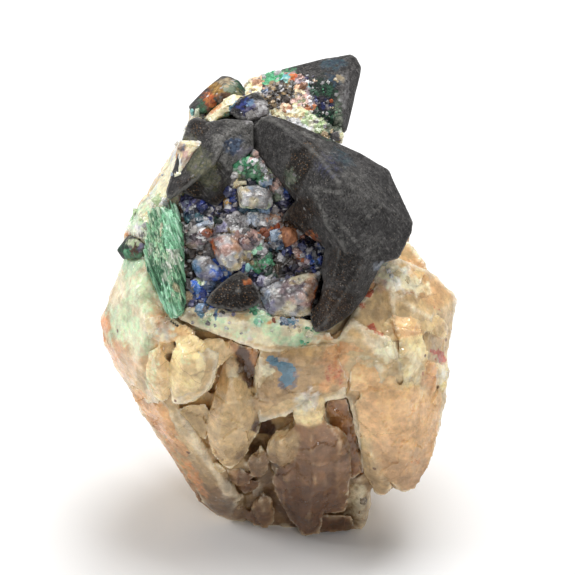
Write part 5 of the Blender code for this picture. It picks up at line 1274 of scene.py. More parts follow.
# What grows where: palette, kind, u, v, half width, half height, and the turn in degrees if it has one. Kind
# "one" is a single crystal, "coarse" and "fine" are grains that fill the place, and "bare" only colours the
# ground.
POCKET_GROWTH = turned([
    ("white", "coarse", -2.8, 18.6, 1.3, 1.2, -20), ("pink", "coarse", -2.0, 16.6, 0.7, 1.2),
    ("sugar", "coarse", -3.6, 19.6, 0.8, 0.5),
    # Under the left cuprite crystal, and the malachite at the head of the pocket.
    ("lilac", "one", -7.7, 21.1, 0.6, 0.85, -20), ("ink", "coarse", -9.0, 20.6, 0.8, 0.8),
    ("mint", "one", -7.6, 18.3, 0.5, 0.4), ("glint", "one", -8.3, 18.7, 0.13, 0.1),
    ("green", "fine", -6.4, 18.9, 1.2, 0.5, 20), ("leaf", "fine", -4.9, 18.0, 1.2, 0.9),
    ("leaf", "coarse", -5.8, 17.3, 0.8, 0.6), ("olive", "fine", -6.7, 17.0, 0.5, 0.5),
    ("leaf", "fine", -4.2, 17.0, 0.8, 0.6), ("navy", "one", -5.3, 16.4, 0.7, 0.4),
    ("light blue", "one", -3.0, 16.4, 0.65, 0.45), ("cream", "one", -6.8, 16.3, 0.8, 0.35, 5),
    ("pink", "fine", -4.0, 19.8, 1.1, 0.8, -20), ("sand", "fine", -2.5, 18.6, 0.7, 1.2, -10),
    ("pale green", "fine", -2.7, 17.9, 0.5, 0.6), ("grey", "one", -1.6, 17.6, 0.45, 0.5),
    ("grey", "fine", -1.9, 16.6, 0.7, 0.8), ("brown", "fine", -1.5, 16.2, 0.4, 0.4),
    ("bright blue", "one", -0.3, 16.2, 0.4, 0.7), ("blue", "one", -0.4, 15.3, 0.45, 0.6, 15),
    ("navy", "one", -0.4, 14.4, 0.5, 0.55), ("violet", "one", -0.9, 13.6, 0.55, 0.45),
    ("moss", "one", -1.6, 14.5, 0.6, 0.55), ("ink", "coarse", -1.6, 12.9, 0.9, 0.5),
    # Round the clear cube.
    ("navy", "coarse", -8.15, 14.8, 0.7, 0.9, 10), ("blue", "one", -8.0, 13.9, 0.45, 0.5),
    ("glint", "one", -8.5, 15.7, 0.16, 0.13), ("glint", "one", -7.8, 14.3, 0.13, 0.13),
    ("ochre", "fine", -8.6, 13.6, 0.3, 0.3), ("grey", "fine", -8.8, 16.6, 0.6, 0.8),
    ("teal", "one", -6.4, 12.55, 0.75, 0.35, 5), ("teal", "one", -5.0, 12.5, 0.7, 0.35, -5),
    ("light blue", "one", -3.5, 12.45, 0.75, 0.4, 5), ("violet", "one", -7.9, 12.6, 0.6, 0.4),
    ("sugar", "fine", -7.1, 11.1, 1.6, 1.1), ("ice", "coarse", -5.2, 11.3, 1.0, 0.8),
    ("white", "fine", -4.3, 11.1, 0.7, 0.6), ("glint", "one", -4.6, 11.5, 0.15, 0.12),
    ("sugar", "fine", -3.8, 11.8, 0.7, 0.4), ("grey", "fine", -5.6, 10.2, 1.2, 0.4, 10),
    ("peach", "fine", -2.1, 11.4, 0.9, 0.8), ("orange", "fine", -2.5, 10.3, 0.5, 0.35),
    ("pink", "fine", -1.2, 11.6, 0.5, 0.5), ("brown", "fine", -1.0, 10.7, 0.5, 0.4),
    # Down the left side.
    ("violet", "coarse", -14.2, 13.7, 0.9, 0.7, -10), ("ice", "one", -14.4, 13.6, 0.35, 0.3),
    ("glint", "one", -13.2, 13.1, 0.16, 0.2), ("navy", "one", -12.0, 12.9, 0.6, 0.65),
    ("ink", "coarse", -13.0, 13.0, 0.6, 0.6), ("teal", "coarse", -13.3, 11.5, 1.3, 0.55),
    ("steel", "one", -13.6, 12.2, 0.5, 0.3), ("black", "bare", -13.2, 10.7, 1.3, 0.2),
    ("ice", "one", -11.9, 10.6, 0.9, 0.35, 15), ("sand", "fine", -11.3, 10.2, 0.8, 0.35, -10),
    ("grey", "coarse", -13.4, 9.9, 0.9, 0.5), ("rust", "fine", -11.8, 9.4, 0.9, 0.4),
    ("mauve", "coarse", -13.0, 8.9, 1.1, 0.6), ("glint", "one", -12.8, 9.5, 0.14, 0.12),
    ("glint", "one", -12.5, 8.9, 0.12, 0.1), ("deep green", "one", -9.85, 11.0, 0.65, 0.45),
    ("ink", "coarse", -10.2, 12.0, 1.0, 0.6), ("lilac", "one", -9.7, 9.9, 0.6, 0.6),
    ("mauve", "coarse", -10.6, 9.2, 0.7, 0.5), ("sand", "coarse", -8.6, 9.4, 0.9, 0.45),
    ("brown", "fine", -15.2, 12.4, 0.25, 1.5, 10), ("pink", "fine", -14.5, 8.6, 0.25, 0.9),
    ("shadow", "bare", -13.7, 5.2, 1.1, 2.0), ("grey", "coarse", -11.6, 7.8, 0.6, 0.8),
    ("smoke", "coarse", -12.8, 7.2, 0.8, 0.6), ("deep green", "bare", -15.0, 3.0, 0.3, 5.0, 2),
    # The middle.
    ("rust", "coarse", -3.8, 9.3, 0.7, 0.6), ("brown", "fine", -3.3, 8.6, 0.5, 0.4),
    ("light blue", "one", -2.2, 9.0, 0.6, 0.85, 10), ("steel", "one", -1.6, 8.0, 0.5, 0.5),
    ("teal", "coarse", -2.2, 7.4, 0.9, 0.45), ("pink", "fine", -5.8, 8.9, 1.6, 0.8),
    ("mauve", "coarse", -5.6, 7.8, 1.4, 0.7), ("glint", "one", -3.9, 8.2, 0.15, 0.12),
    ("grey", "coarse", -4.6, 9.9, 0.9, 0.4), ("peach", "one", -0.9, 9.0, 0.45, 0.7),
    ("orange", "one", -0.4, 8.1, 0.5, 0.4), ("rust", "coarse", 0.5, 8.8, 0.6, 0.8),
    ("pink", "fine", 0.4, 7.7, 0.5, 0.4), ("pink", "fine", 1.0, 6.7, 0.35, 0.7, 20),
    ("rust", "fine", 1.5, 5.8, 0.3, 0.6, 10), ("mauve", "fine", 1.8, 4.9, 0.35, 0.6, 15),
    ("glint", "one", 1.5, 6.3, 0.13, 0.12), ("glint", "one", 2.2, 4.0, 0.14, 0.12),
    ("glint", "one", 2.5, 6.5, 0.11, 0.1), ("ink", "coarse", 2.2, 7.6, 0.9, 0.9),
    ("blue", "one", 2.6, 6.0, 0.5, 0.45), ("navy", "one", 3.5, 6.6, 0.5, 0.6),
    ("blue", "one", 4.2, 7.3, 0.45, 0.5), ("bright blue", "one", 3.0, 5.2, 0.4, 0.35),
    ("teal", "one", 3.7, 5.2, 0.3, 0.6), ("navy", "coarse", 3.6, 4.6, 1.0, 0.7),
    ("blue", "one", 4.4, 5.8, 0.4, 0.45), ("ink", "coarse", 3.3, 8.2, 0.9, 0.5),
    ("shadow", "bare", -0.6, 5.6, 1.9, 1.6), ("smoke", "one", -1.8, 4.4, 0.35, 0.8),
    ("ink", "coarse", 0.4, 4.2, 1.2, 0.6), ("navy", "coarse", -0.4, 6.6, 0.6, 0.5),
    # Down the middle left, to the wedge of cuprite.
    ("bright blue", "one", -9.8, 4.0, 0.5, 0.85, 15), ("glint", "one", -9.0, 3.65, 0.12, 0.1),
    ("violet", "coarse", -10.9, 3.2, 0.7, 0.5), ("cream", "fine", -6.2, 6.3, 1.0, 0.7),
    ("sand", "fine", -5.6, 5.4, 0.6, 0.6), ("pale green", "one", -12.3, 2.8, 0.65, 0.4),
    ("bright blue", "one", -12.9, 1.5, 0.6, 0.8, 20), ("blue", "one", -12.1, 0.9, 0.6, 0.7),
    ("blue", "coarse", -12.6, 0.4, 0.9, 0.6), ("steel", "one", -10.9, 2.2, 0.65, 0.55),
    ("violet", "one", -13.1, -0.3, 0.3, 0.5), ("light blue", "coarse", -12.2, -0.9, 0.7, 0.9),
    ("ice", "coarse", -12.0, -1.6, 0.8, 0.5), ("grey", "one", -14.2, 2.2, 0.4, 0.9),
    ("sand", "one", -14.2, 0.6, 0.4, 0.8), ("glint", "one", -13.9, -1.1, 0.15, 0.12),
    ("glint", "one", -14.0, -1.6, 0.12, 0.1), ("blue", "one", -6.7, 4.1, 0.4, 0.8, -10),
    ("aqua", "one", -5.9, 4.5, 0.45, 0.7, -10), ("mint", "one", -4.2, 7.1, 0.7, 0.4),
    ("deep green", "fine", -4.1, 6.1, 0.8, 0.6), ("leaf", "fine", -4.3, 4.9, 0.9, 0.9),
    ("green", "fine", -3.4, 5.4, 0.4, 0.8), ("navy", "one", -4.9, 3.4, 0.45, 0.45),
    ("lilac", "one", -4.2, 2.5, 0.5, 0.8), ("white", "fine", -4.4, 1.8, 0.3, 0.4),
    ("cream", "one", -3.9, 0.5, 0.3, 0.6), ("deep green", "coarse", -3.0, 4.0, 0.6, 0.5),
    ("white", "coarse", -2.7, 2.6, 0.5, 0.4), ("lilac", "coarse", -1.9, 2.5, 0.5, 0.45),
    ("ice", "one", -1.0, 2.5, 0.5, 0.4), ("violet", "coarse", 0.2, 2.9, 0.9, 0.4),
    ("smoke", "coarse", 1.6, 3.1, 0.8, 0.4), ("black", "bare", 3.0, 3.8, 1.4, 0.6),
    # The lip.
    ("green", "fine", -5.0, -1.5, 0.7, 0.6), ("mint", "fine", -4.3, -2.6, 0.8, 0.7),
    ("blue", "fine", -10.4, -1.7, 0.2, 0.9), ("grey", "coarse", -9.4, -1.9, 0.6, 0.7),
    ("lilac", "coarse", -7.6, -2.0, 0.9, 0.6), ("pale green", "fine", -11.6, -2.5, 0.8, 0.6),
    ("steel", "fine", -0.9, -2.9, 0.6, 0.5), ("ice", "fine", 0.6, -2.8, 0.8, 0.35),
    ("rust", "fine", -2.1, -3.4, 0.3, 0.8, 10), ("green", "fine", 2.7, -4.1, 0.7, 0.5),
    ("cream", "fine", 0.6, -3.9, 1.2, 0.5), ("shadow", "fine", 2.3, -2.1, 0.7, 0.3),
])
BACK_GROWTH = turned([
    # The dark filigree and the pale base of the back block.
    ("filigree", "fine", -1.6, 28.9, 1.9, 1.3, 10), ("filigree", "fine", -2.4, 27.2, 1.0, 0.9),
    ("white", "bare", 0.6, 24.6, 3.4, 1.6, -15), ("mauve", "bare", 2.0, 29.0, 0.9, 1.4),
    ("pale green", "bare", 4.0, 24.4, 1.4, 1.2), ("cream", "bare", -0.6, 25.2, 1.6, 1.0),
    ("pink", "bare", 1.9, 28.4, 0.9, 1.8), ("filigree", "fine", -0.3, 29.4, 1.1, 0.8),
    ("shadow", "one", -0.5, 27.9, 0.6, 0.55), ("steel", "fine", -3.4, 29.1, 0.4, 0.35),
    ("cream", "fine", -2.0, 26.0, 1.2, 0.7, -10), ("peach", "fine", -0.8, 26.7, 0.9, 0.5),
    ("cream", "bare", 1.1, 26.0, 0.9, 1.1), ("pale green", "bare", 2.5, 25.2, 0.9, 1.4),
    ("aqua", "fine", 0.1, 25.2, 0.35, 0.5), ("pale green", "coarse", 3.7, 24.1, 0.7, 0.7),
    ("sand", "fine", 4.8, 23.3, 0.7, 0.7), ("moss", "fine", 5.8, 24.3, 0.7, 0.7),
    ("deep green", "fine", 5.9, 22.8, 0.25, 0.5), ("cream", "coarse", 6.8, 22.6, 0.7, 0.6),
    # The pink column and the colours beside it.
    ("peach", "coarse", 1.6, 29.8, 0.7, 0.7), ("sand", "fine", 1.7, 28.6, 0.9, 0.8),
    ("olive", "fine", 1.8, 27.6, 0.7, 0.5), ("pink", "fine", 2.7, 27.9, 0.5, 1.0),
    ("rust", "fine", 2.8, 26.9, 0.4, 0.5), ("aqua", "fine", 2.8, 29.7, 0.4, 0.5),
    ("green", "fine", 4.3, 29.4, 0.45, 0.9), ("deep green", "fine", 3.6, 29.2, 0.4, 0.5),
    ("ink", "fine", 3.8, 28.0, 0.7, 0.6), ("orange", "coarse", 5.5, 27.7, 0.45, 0.4),
    ("cream", "fine", 5.8, 27.0, 0.3, 0.3), ("violet", "fine", 4.5, 27.0, 0.4, 0.5),
    ("deep green", "fine", 4.6, 25.9, 0.8, 0.9), ("moss", "fine", 5.3, 26.0, 0.3, 0.9),
    ("white", "one", 4.55, 26.1, 0.15, 0.25), ("deep green", "fine", 5.4, 25.0, 0.9, 0.6),
    ("moss", "fine", 6.9, 25.2, 0.4, 1.2), ("leaf", "fine", 6.7, 26.3, 0.25, 0.6),
    # The specks along the top.
    ("pink", "fine", -0.6, 31.5, 0.4, 0.25), ("orange", "fine", 0.6, 31.1, 0.5, 0.2),
    ("pink", "fine", 1.6, 31.3, 0.35, 0.25), ("white", "one", 2.4, 31.3, 0.25, 0.2),
    ("violet", "fine", 2.9, 31.1, 0.6, 0.2, 20), ("lilac", "one", 3.2, 31.2, 0.25, 0.12, 30),
    ("peach", "fine", 3.5, 30.6, 0.3, 0.2), ("white", "fine", 2.8, 30.2, 0.45, 0.15, 10),
    ("white", "fine", 5.5, 30.5, 0.35, 0.25), ("sand", "fine", 6.8, 30.6, 0.6, 0.25),
    ("mauve", "fine", 1.5, 30.5, 0.5, 0.3), ("green", "coarse", -2.8, 31.0, 0.9, 0.6, 10),
    ("green", "coarse", -1.6, 31.3, 0.6, 0.35), ("aqua", "fine", -0.7, 30.9, 0.8, 0.25),
    ("peach", "one", -4.6, 30.4, 0.75, 0.55), ("cream", "fine", -5.5, 29.5, 1.1, 0.35, 5),
    ("olive", "fine", -6.3, 30.4, 0.8, 0.35),
    # The pale ledge that slants down to the left, and what lies under it.
    ("green", "fine", -10.1, 24.6, 0.9, 0.4, 30), ("aqua", "fine", -8.3, 26.0, 0.9, 0.25, 20),
    ("ink", "coarse", -7.6, 25.2, 1.4, 0.4), ("glint", "one", -6.8, 26.1, 0.12, 0.1),
    ("grey", "one", -5.4, 25.6, 0.9, 0.8, 30), ("sugar", "coarse", -6.2, 24.7, 0.6, 0.4),
    ("sugar", "fine", -4.9, 24.5, 0.4, 0.4), ("violet", "fine", -6.7, 26.9, 0.7, 0.6, 40),
    ("light blue", "fine", -5.8, 27.3, 0.5, 0.25, 20), ("glint", "one", -6.8, 23.1, 0.13, 0.11),
    ("aqua", "one", -13.6, 26.2, 0.4, 0.6), ("pale green", "one", -12.9, 26.1, 0.4, 0.7),
    ("black", "coarse", -12.2, 25.7, 0.4, 0.4),
])
# Crumbs on the lip of the pocket and down the left flank.
CRUMBS = turned([
    ("sand", "coarse", -14.0, -2.6, 1.2, 0.8), ("pale green", "coarse", -11.4, -3.0, 1.4, 0.6, -8),
    ("white", "coarse", -8.6, -3.4, 1.6, 0.7, -5), ("cream", "coarse", -5.8, -4.4, 1.8, 0.7),
    ("mint", "coarse", -4.2, -2.8, 1.0, 0.8), ("pale green", "coarse", -1.8, -4.6, 1.4, 0.8),
    ("cream", "coarse", 1.2, -4.6, 1.6, 0.8), ("ice", "coarse", -0.8, -3.2, 0.9, 0.5),
    ("green", "fine", 1.0, -6.0, 1.6, 0.3, 4), ("white", "coarse", -15.2, 20.4, 0.7, 1.6, 20),
    ("ice", "coarse", -16.8, 17.0, 0.9, 1.4, 20), ("pale green", "coarse", -17.6, 14.4, 1.0, 1.4),
    ("white", "fine", -14.6, 23.4, 0.5, 1.2), ("pale green", "coarse", -20.6, 11.6, 1.2, 1.4),
    ("leaf", "fine", -21.3, 11.8, 0.4, 0.5), ("white", "coarse", 13.4, 4.2, 1.4, 1.0, -20),
    ("cream", "coarse", 15.6, 3.4, 1.2, 0.6, -25), ("sand", "coarse", 9.7, -28.4, 0.8, 1.8),
])
# The grains' half widths, the share that stray to plain quartz, the crowding of the other two lists beside
# the pocket's, the lightest that a bed's colour gets, its unevenness in millimetres and its seed.
GRAIN_HALF_WIDTHS = {"coarse": 0.40, "fine": 0.20}
STRAY_SHARE = 0.2
BACK_CROWDING = 0.25
CRUMB_CROWDING = 0.5
BRIGHTEST = 0.92
BED_UNEVEN = 0.08
BED_SEED = 211

# The granular face of the back block, as the corners (u, v, w) of a convex form.
BACK_BED = [(-6.2, 29.6, 7.4), (-5.4, 30.9, 5.6), (-2.4, 31.8, 6.0), (0.6, 31.7, 7.6), (3.6, 30.4, 8.9),
            (3.4, 26.6, 10.2), (5.0, 24.4, 9.8), (7.4, 23.6, 9.2), (7.3, 21.9, 9.2), (3.0, 22.0, 10.2),
            (-3.0, 23.0, 10.8), (-7.0, 24.0, 10.0), (-7.8, 26.0, 8.8), (0.3, 30.2, 8.6), (-0.5, 27.0, 10.0),
            (2.5, 27.0, 10.2), (-5.3, 28.6, 9.0), (-5.0, 25.0, 3.0), (5.0, 24.0, 3.0), (0.0, 31.0, 3.0)]


def carrying_surface(*names):
    """The surface that small crystals grow on, of the pieces whose names start so."""
    return tree_of(*[item.data for item in bpy.context.scene.objects
                     if item.type == "MESH" and item.name.startswith(names)])


CARRIERS = ("quartz_body", "quartz_front", "druse_bed", "back_bed", "cuprite_back", "cuprite_ledge",
            "cuprite_upper_left")


# Where the lines that look for the surface start, in millimetres from the face. How much of its direction a
# crystal takes from the surface, how far it leans at random, and what part of its half height is sunk.
VIEWER_SIDE = 40.0
STANDING = 0.35
LEAN = 0.22
SUNK = 0.15


def spot_on_face(surface, u, v):
    """Where a line from the viewer's side at (u, v) meets the surface, and the way out of it there."""
    place, way, _, _ = surface.ray_cast(on_face(u, v, VIEWER_SIDE), -OUT_OF_FACE)
    return place, way


def set_crystal(heap, surface, generator, shapes, spot, halves, turn, tint):
    """One crystal set in the surface at a spot, with its half sizes along the face and out of it."""
    place, out = spot_on_face(surface, *spot)
    if place is None:
        return
    lean = Vector([generator.gauss(0, LEAN) for _ in range(3)])
    way = (out * STANDING + OUT_OF_FACE * (1.0 - STANDING) + lean).normalized()
    side = Vector((math.cos(turn), 0.0, 0.0)) + FACE_AXES.col[1] * math.sin(turn)
    along = way.cross(side).normalized()
    side = along.cross(way)
    wide, high, deep = (half * MM for half in halves)
    middle = place - way * deep * SUNK
    corners = [middle + side * corner.x * wide + along * corner.y * high + way * corner.z * deep
               for corner in generator.choice(shapes)(generator)]
    heap.add(corners, tint)


def grow(heaps, surface, generator, growth, crowding):
    """Fills each place of a list with its crystals."""
    for palette, kind, u, v, wide, high, turn in growth:
        mineral, tints = PALETTES[palette]
        angle = math.radians(turn)
        if kind == "one":
            halves = (wide, high, 0.3 + 0.35 * min(wide, high))
            if palette == "glint":
                halves = (wide, high, wide)
            set_crystal(heaps[mineral], surface, generator, SHAPES[mineral], (u, v), halves, angle,
                        generator.choice(tints))
        if kind not in GRAIN_HALF_WIDTHS:
            continue
        half = GRAIN_HALF_WIDTHS[kind]
        for _ in range(max(2, round(crowding * wide * high / (half * half)))):
            reach = math.sqrt(generator.random())
            way_round = generator.uniform(0, math.tau)
            part_u = math.cos(way_round) * reach * wide
            part_v = math.sin(way_round) * reach * high
            spot = (u + part_u * math.cos(angle) - part_v * math.sin(angle),
                    v + part_u * math.sin(angle) + part_v * math.cos(angle))
            size = half * math.exp(generator.uniform(-0.6, 0.6))
            halves = [size * generator.uniform(0.7, 1.3) for _ in range(2)]
            halves.append(size * generator.uniform(0.4, 0.8))
            tint = generator.choice(PALETTES["sugar"][1] if generator.random() < STRAY_SHARE else tints)
            set_crystal(heaps[mineral], surface, generator, SHAPES[mineral], spot, halves,
                        generator.uniform(0, math.tau), tint)


def bed_surface(mesh, growth, grain, rise, relief, gain, stray):
    """Breaks a bed into small tilted grains and stores their colours, lightened by the gain as painted
    light.
    """
    places, normals, face = surface_of(mesh)
    lift = rise + ledges(face, grain, BED_SEED, tilt=1.0) * relief
    lift += rough_clouds(face, cell=0.5, seed=220) * BED_UNEVEN
    put_places(mesh, pushed(places, normals, lift))
    colours, beyond = patch_colours(face, growth, grain, BED_SEED, stray)
    # Painted light: the gain lightens the colours against the shade among the grains; they also darken away
    # from the listed patches.
    fading = gain * (1.0 - 0.35 * step_up(beyond, 1.2, 2.6))
    store_colour(mesh, np.minimum(colours * fading[:, None], BRIGHTEST))


def crystal_material(name, contrast, rough, **sockets):
    """Small crystals that carry their own colours, with growth lines and cloudy patches."""
    material, graph, shader = new_material(name, **sockets)
    place = graph.place()
    fine = graph.group("mottle", place, Size=0.4, Detail=4.0, Contrast=2.0)
    body = graph.dimmed(graph.painted(), graph.math("MULTIPLY_ADD", fine, contrast, 1.0 - 0.5 * contrast))
    lines = graph.group("streaks", place, Across=0.1, Along=1.2, Turn=0.4)
    rough = graph.math("MULTIPLY_ADD", fine, 0.3, rough)
    feed(graph, shader, body, rough, graph.math("ADD", lines, fine), depth_mm=0.03)
    return material


class SPECIMEN_OT_druse(bpy.types.Operator):
    """The pocket's bed and the hundreds of small crystals on it and on the back block"""
    bl_idname = "specimen.druse"
    bl_label = "Druse"

    def execute(self, context):
        settings = context.scene.specimen.druse
        materials = {
            "azurite": crystal_material(
                "azurite crystals", contrast=0.9, rough=0.15, IOR=1.75, Coat_Weight=0.3, Coat_Roughness=0.08,
                Transmission_Weight=0.3),
            "malachite": crystal_material(
                "malachite grains", contrast=0.9, rough=0.3, IOR=1.7, Coat_Weight=0.1, Coat_Roughness=0.1,
                Subsurface_Weight=0.3, Subsurface_Radius=(0.6, 1.0, 0.7), Subsurface_Scale=0.0004),
            "quartz": crystal_material(
                "quartz grains", contrast=0.5, rough=0.1, IOR=1.54, Subsurface_Weight=0.35,
                Subsurface_Radius=(1.0, 0.85, 0.75), Subsurface_Scale=0.0007, Coat_Weight=0.5,
                Coat_Roughness=0.05, Transmission_Weight=0.35),
            "iron": crystal_material("iron oxide grains", contrast=0.8, rough=0.45, IOR=1.6),
        }
        ground = crystal_material(
            "druse ground", contrast=0.8, rough=0.2, IOR=1.6, Coat_Weight=0.3, Coat_Roughness=0.08,
            Subsurface_Weight=0.5, Subsurface_Radius=(1.0, 0.9, 0.9), Subsurface_Scale=0.0005)
        mesh = fine_copy("azurite_malachite_crust", settings.grain)
        bed_surface(mesh, POCKET_GROWTH, settings.bed_grain / MM, settings.rise / MM, relief=0.2, gain=1.2,
                    stray=0.25)
        bed = new_object("druse_bed", mesh, ground)
        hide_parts("azurite_malachite_crust")
        block = Heap()
        block.add([on_face(*corner) for corner in BACK_BED], (0.5, 0.5, 0.5))
        mesh = even_faces(block.mesh("back"), "back_bed", settings.grain)
        bed_surface(mesh, BACK_GROWTH, settings.bed_grain / MM, rise=0.1, relief=0.12, gain=1.4, stray=0.08)
        new_object("back_bed", mesh, ground)
        surface = carrying_surface(*CARRIERS)
        heaps = {mineral: Heap() for mineral in MINERALS}
        generator = random.Random(41)
        grow(heaps, surface, generator, POCKET_GROWTH, settings.crowding)
        grow(heaps, surface, generator, BACK_GROWTH, BACK_CROWDING * settings.crowding)
        grow(heaps, surface, generator, CRUMBS, CRUMB_CROWDING * settings.crowding)
        for mineral, heap in heaps.items():
            new_object(f"{mineral}_crystals", heap.mesh(mineral), materials[mineral])
        return {"FINISHED"}


# Clear quartz and iron oxide grains ------------------------------------------------------------------

# Edge lengths of the faces in millimetres, and colours.
CLEAR_GRAIN_FACE = 0.2
RUST_GRAIN_FACE = 0.15
BROKEN_EDGE = (0.85, 0.83, 0.78)
DARK_RUST = (0.16, 0.05, 0.02)
LIGHT_RUST = (0.62, 0.27, 0.13)

# The larger clear grains and the colours in them: palette, strength, u, v, half width, half height, turn.
CLEAR_GRAINS = {
    "quartz_point": turned([
        ("mauve", 1.0, 0.2, 1.4, 1.6, 1.2), ("peach", 1.0, 2.6, 1.8, 0.9, 1.6),
        ("rust", 1.0, 3.6, 1.0, 0.5, 1.6, -15), ("cream", 1.0, 0.0, -1.3, 2.6, 0.7),
        ("white", 1.0, -2.3, 1.8, 0.9, 0.9), ("ice", 1.0, -3.3, 0.6, 0.6, 1.0),
        ("lilac", 1.0, -2.8, -0.8, 0.9, 0.6), ("sugar", 1.0, -1.4, -0.2, 1.0, 0.7),
        ("cream", 1.0, 1.4, 2.8, 2.4, 0.3, 18), ("pink", 1.0, 1.4, 0.0, 1.2, 0.8),
        ("white", 1.0, 4.2, 2.8, 0.5, 0.7), ("grey", 1.0, -1.0, 2.2, 0.8, 0.6),
    ]),
    "quartz_grain_clear": turned([
        ("cream", 1.0, -6.9, 14.6, 0.8, 1.5), ("white", 1.0, -4.9, 14.4, 1.2, 0.9),
        ("ice", 1.0, -5.6, 15.9, 1.8, 0.4), ("pale green", 1.0, -5.4, 12.9, 1.8, 0.35),
        ("sugar", 1.0, -3.7, 14.6, 0.4, 1.2), ("cream", 1.0, -5.2, 13.6, 1.0, 0.4),
    ]),
    "quartz_grain_peach": turned([
        ("orange", 1.0, -10.9, 7.4, 0.3, 1.0), ("pink", 1.0, -9.4, 7.2, 1.0, 1.3),
        ("cream", 1.0, -8.4, 5.0, 1.5, 0.9), ("white", 1.0, -8.8, 9.0, 2.0, 0.5),
        ("peach", 1.0, -7.5, 7.4, 0.7, 1.2), ("sugar", 1.0, -9.6, 5.6, 0.8, 0.8),
        ("white", 1.0, -8.2, 6.4, 0.8, 0.5, 30),
    ]),
    "quartz_grain_lilac": turned([
        ("light blue", 1.0, -13.2, 4.4, 0.6, 1.6), ("white", 1.0, -12.4, 4.8, 0.25, 1.8, 10),
        ("grey", 1.0, -11.7, 4.8, 0.6, 1.4, 10), ("ice", 1.0, -11.0, 4.4, 0.4, 1.4, 10),
        ("bright blue", 1.0, -10.2, 4.2, 0.4, 1.6, 10), ("lilac", 1.0, -11.8, 3.2, 1.4, 0.5),
    ]),
}


def grain_surface(mesh, seed):
    """Small scoops and ledges on a single grain."""
    places, normals, face = surface_of(mesh)
    lift = 0.25 + (scoops(face, 1.6, seed) - 0.5) * 0.25 + ledges(face, 0.8, seed + 7) * 0.1
    put_places(mesh, pushed(places, normals, lift))
    store_masks(mesh, "form", [step_up(standing_proud(mesh, rounds=5), 0.03, 0.2)])
    return face


def clear_material():
    """Clear quartz, a little cloudy, with inner planes and light broken edges."""
    material, graph, shader = new_material(
        "clear quartz grains", Transmission_Weight=0.4, IOR=1.54, Subsurface_Weight=0.3,
        Subsurface_Radius=(1.0, 0.8, 0.7), Subsurface_Scale=0.0008, Coat_Weight=0.4, Coat_Roughness=0.05)
    place = graph.place()
    veils = graph.group("mottle", place, Size=0.8, Detail=4.0, Contrast=2.2)
    planes = graph.group("planes", place, Size=0.9)
    light = graph.math("MULTIPLY_ADD", planes, 0.7, graph.math("MULTIPLY_ADD", veils, 0.5, 0.65))
    body = graph.dimmed(graph.painted(), light)
    body = graph.blend(graph.math("MULTIPLY", graph.masks("form")[0], 0.7), body, BROKEN_EDGE)
    feed(graph, shader, body, graph.math("MULTIPLY_ADD", veils, 0.25, 0.1), veils, depth_mm=0.06)
    return material


def rust_material():
    """Dull rusty iron oxide."""
    material, graph, shader = new_material("iron oxide", IOR=1.6)
    fine = graph.group("mottle", graph.place(), Size=0.8, Detail=4.0, Contrast=2.4)
    body = graph.blend(fine, DARK_RUST, LIGHT_RUST)
    feed(graph, shader, body, graph.math("MULTIPLY_ADD", fine, 0.3, 0.4), fine, depth_mm=0.08)
    return material


class SPECIMEN_OT_grains(bpy.types.Operator):
    """The larger clear quartz grains and the iron oxide grain in the pocket"""
    bl_idname = "specimen.grains"
    bl_label = "Large grains"

    def execute(self, context):
        material = clear_material()
        for order, (node, patches) in enumerate(CLEAR_GRAINS.items()):
            mesh = fine_copy(node, CLEAR_GRAIN_FACE * MM)
            face = grain_surface(mesh, 230 + 10 * order)
            colours, _ = patch_colours(face, patches, 0.7, 240 + 10 * order)
            store_colour(mesh, averaged(colours, neighbour_pairs(mesh), 2))
            item = new_object(f"{node}_clear", mesh, material)
            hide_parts(node)
        mesh = fine_copy("iron_oxide_grain", RUST_GRAIN_FACE * MM)
        grain_surface(mesh, 290)
        item = new_object("iron_oxide_lump", mesh, rust_material())
        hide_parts("iron_oxide_grain")
        return {"FINISHED"}


# Malachite sheaf -------------------------------------------------------------------------------------

# How the sheaf's colours lie: palette, kind, u, v, half width, half height.
SHEAF_GROWTH = turned([
    ("mint fibre", "bare", -17.0, 10.6, 1.0, 1.6), ("green fibre", "bare", -18.6, 12.0, 0.8, 0.9),
    ("green fibre", "bare", -18.8, 8.6, 1.2, 2.2), ("mint fibre", "bare", -16.3, 8.4, 0.7, 1.6),
    ("pale fibre", "bare", -16.2, 6.2, 1.0, 1.0), ("green fibre", "bare", -18.2, 6.2, 1.2, 1.2),
    ("pale fibre", "bare", -19.3, 7.4, 0.6, 1.2), ("dark fibre", "bare", -18.4, 3.6, 0.8, 1.2),
    ("pale fibre", "bare", -17.3, 4.2, 0.7, 1.2), ("green fibre", "bare", -16.2, 3.4, 0.8, 1.2),
    ("dark fibre", "bare", -17.9, 2.0, 0.5, 0.8), ("mint fibre", "bare", -17.2, 1.0, 0.7, 1.2),
    ("tan fibre", "bare", -15.9, 1.8, 0.4, 0.8), ("green fibre", "bare", -16.2, 0.2, 0.8, 1.0),
    ("mint fibre", "bare", -16.8, -1.2, 0.9, 1.0), ("dark fibre", "bare", -15.0, 4.0, 0.35, 6.5),
    ("dark fibre", "bare", -15.2, 9.4, 0.3, 1.2), ("tan fibre", "bare", -17.8, 9.8, 0.3, 1.2),
])
# How the fibres lean, the width of the cells that group them, how much longer than wide these are, the
# segments of a loose fibre, and the cells' seed.
FIBRE_LEAN = 0.32
FIBRE_CELL = 0.26
FIBRE_STRETCH = 4.5
FIBRE_STEPS = 6
FIBRE_SEED = 330


def along_fibres(face):
    """Face places sheared and squeezed so that round cells become long cells that follow the fibres."""
    return np.stack([face[:, 0] + FIBRE_LEAN * face[:, 1], face[:, 1] / FIBRE_STRETCH, face[:, 2]], axis=1)


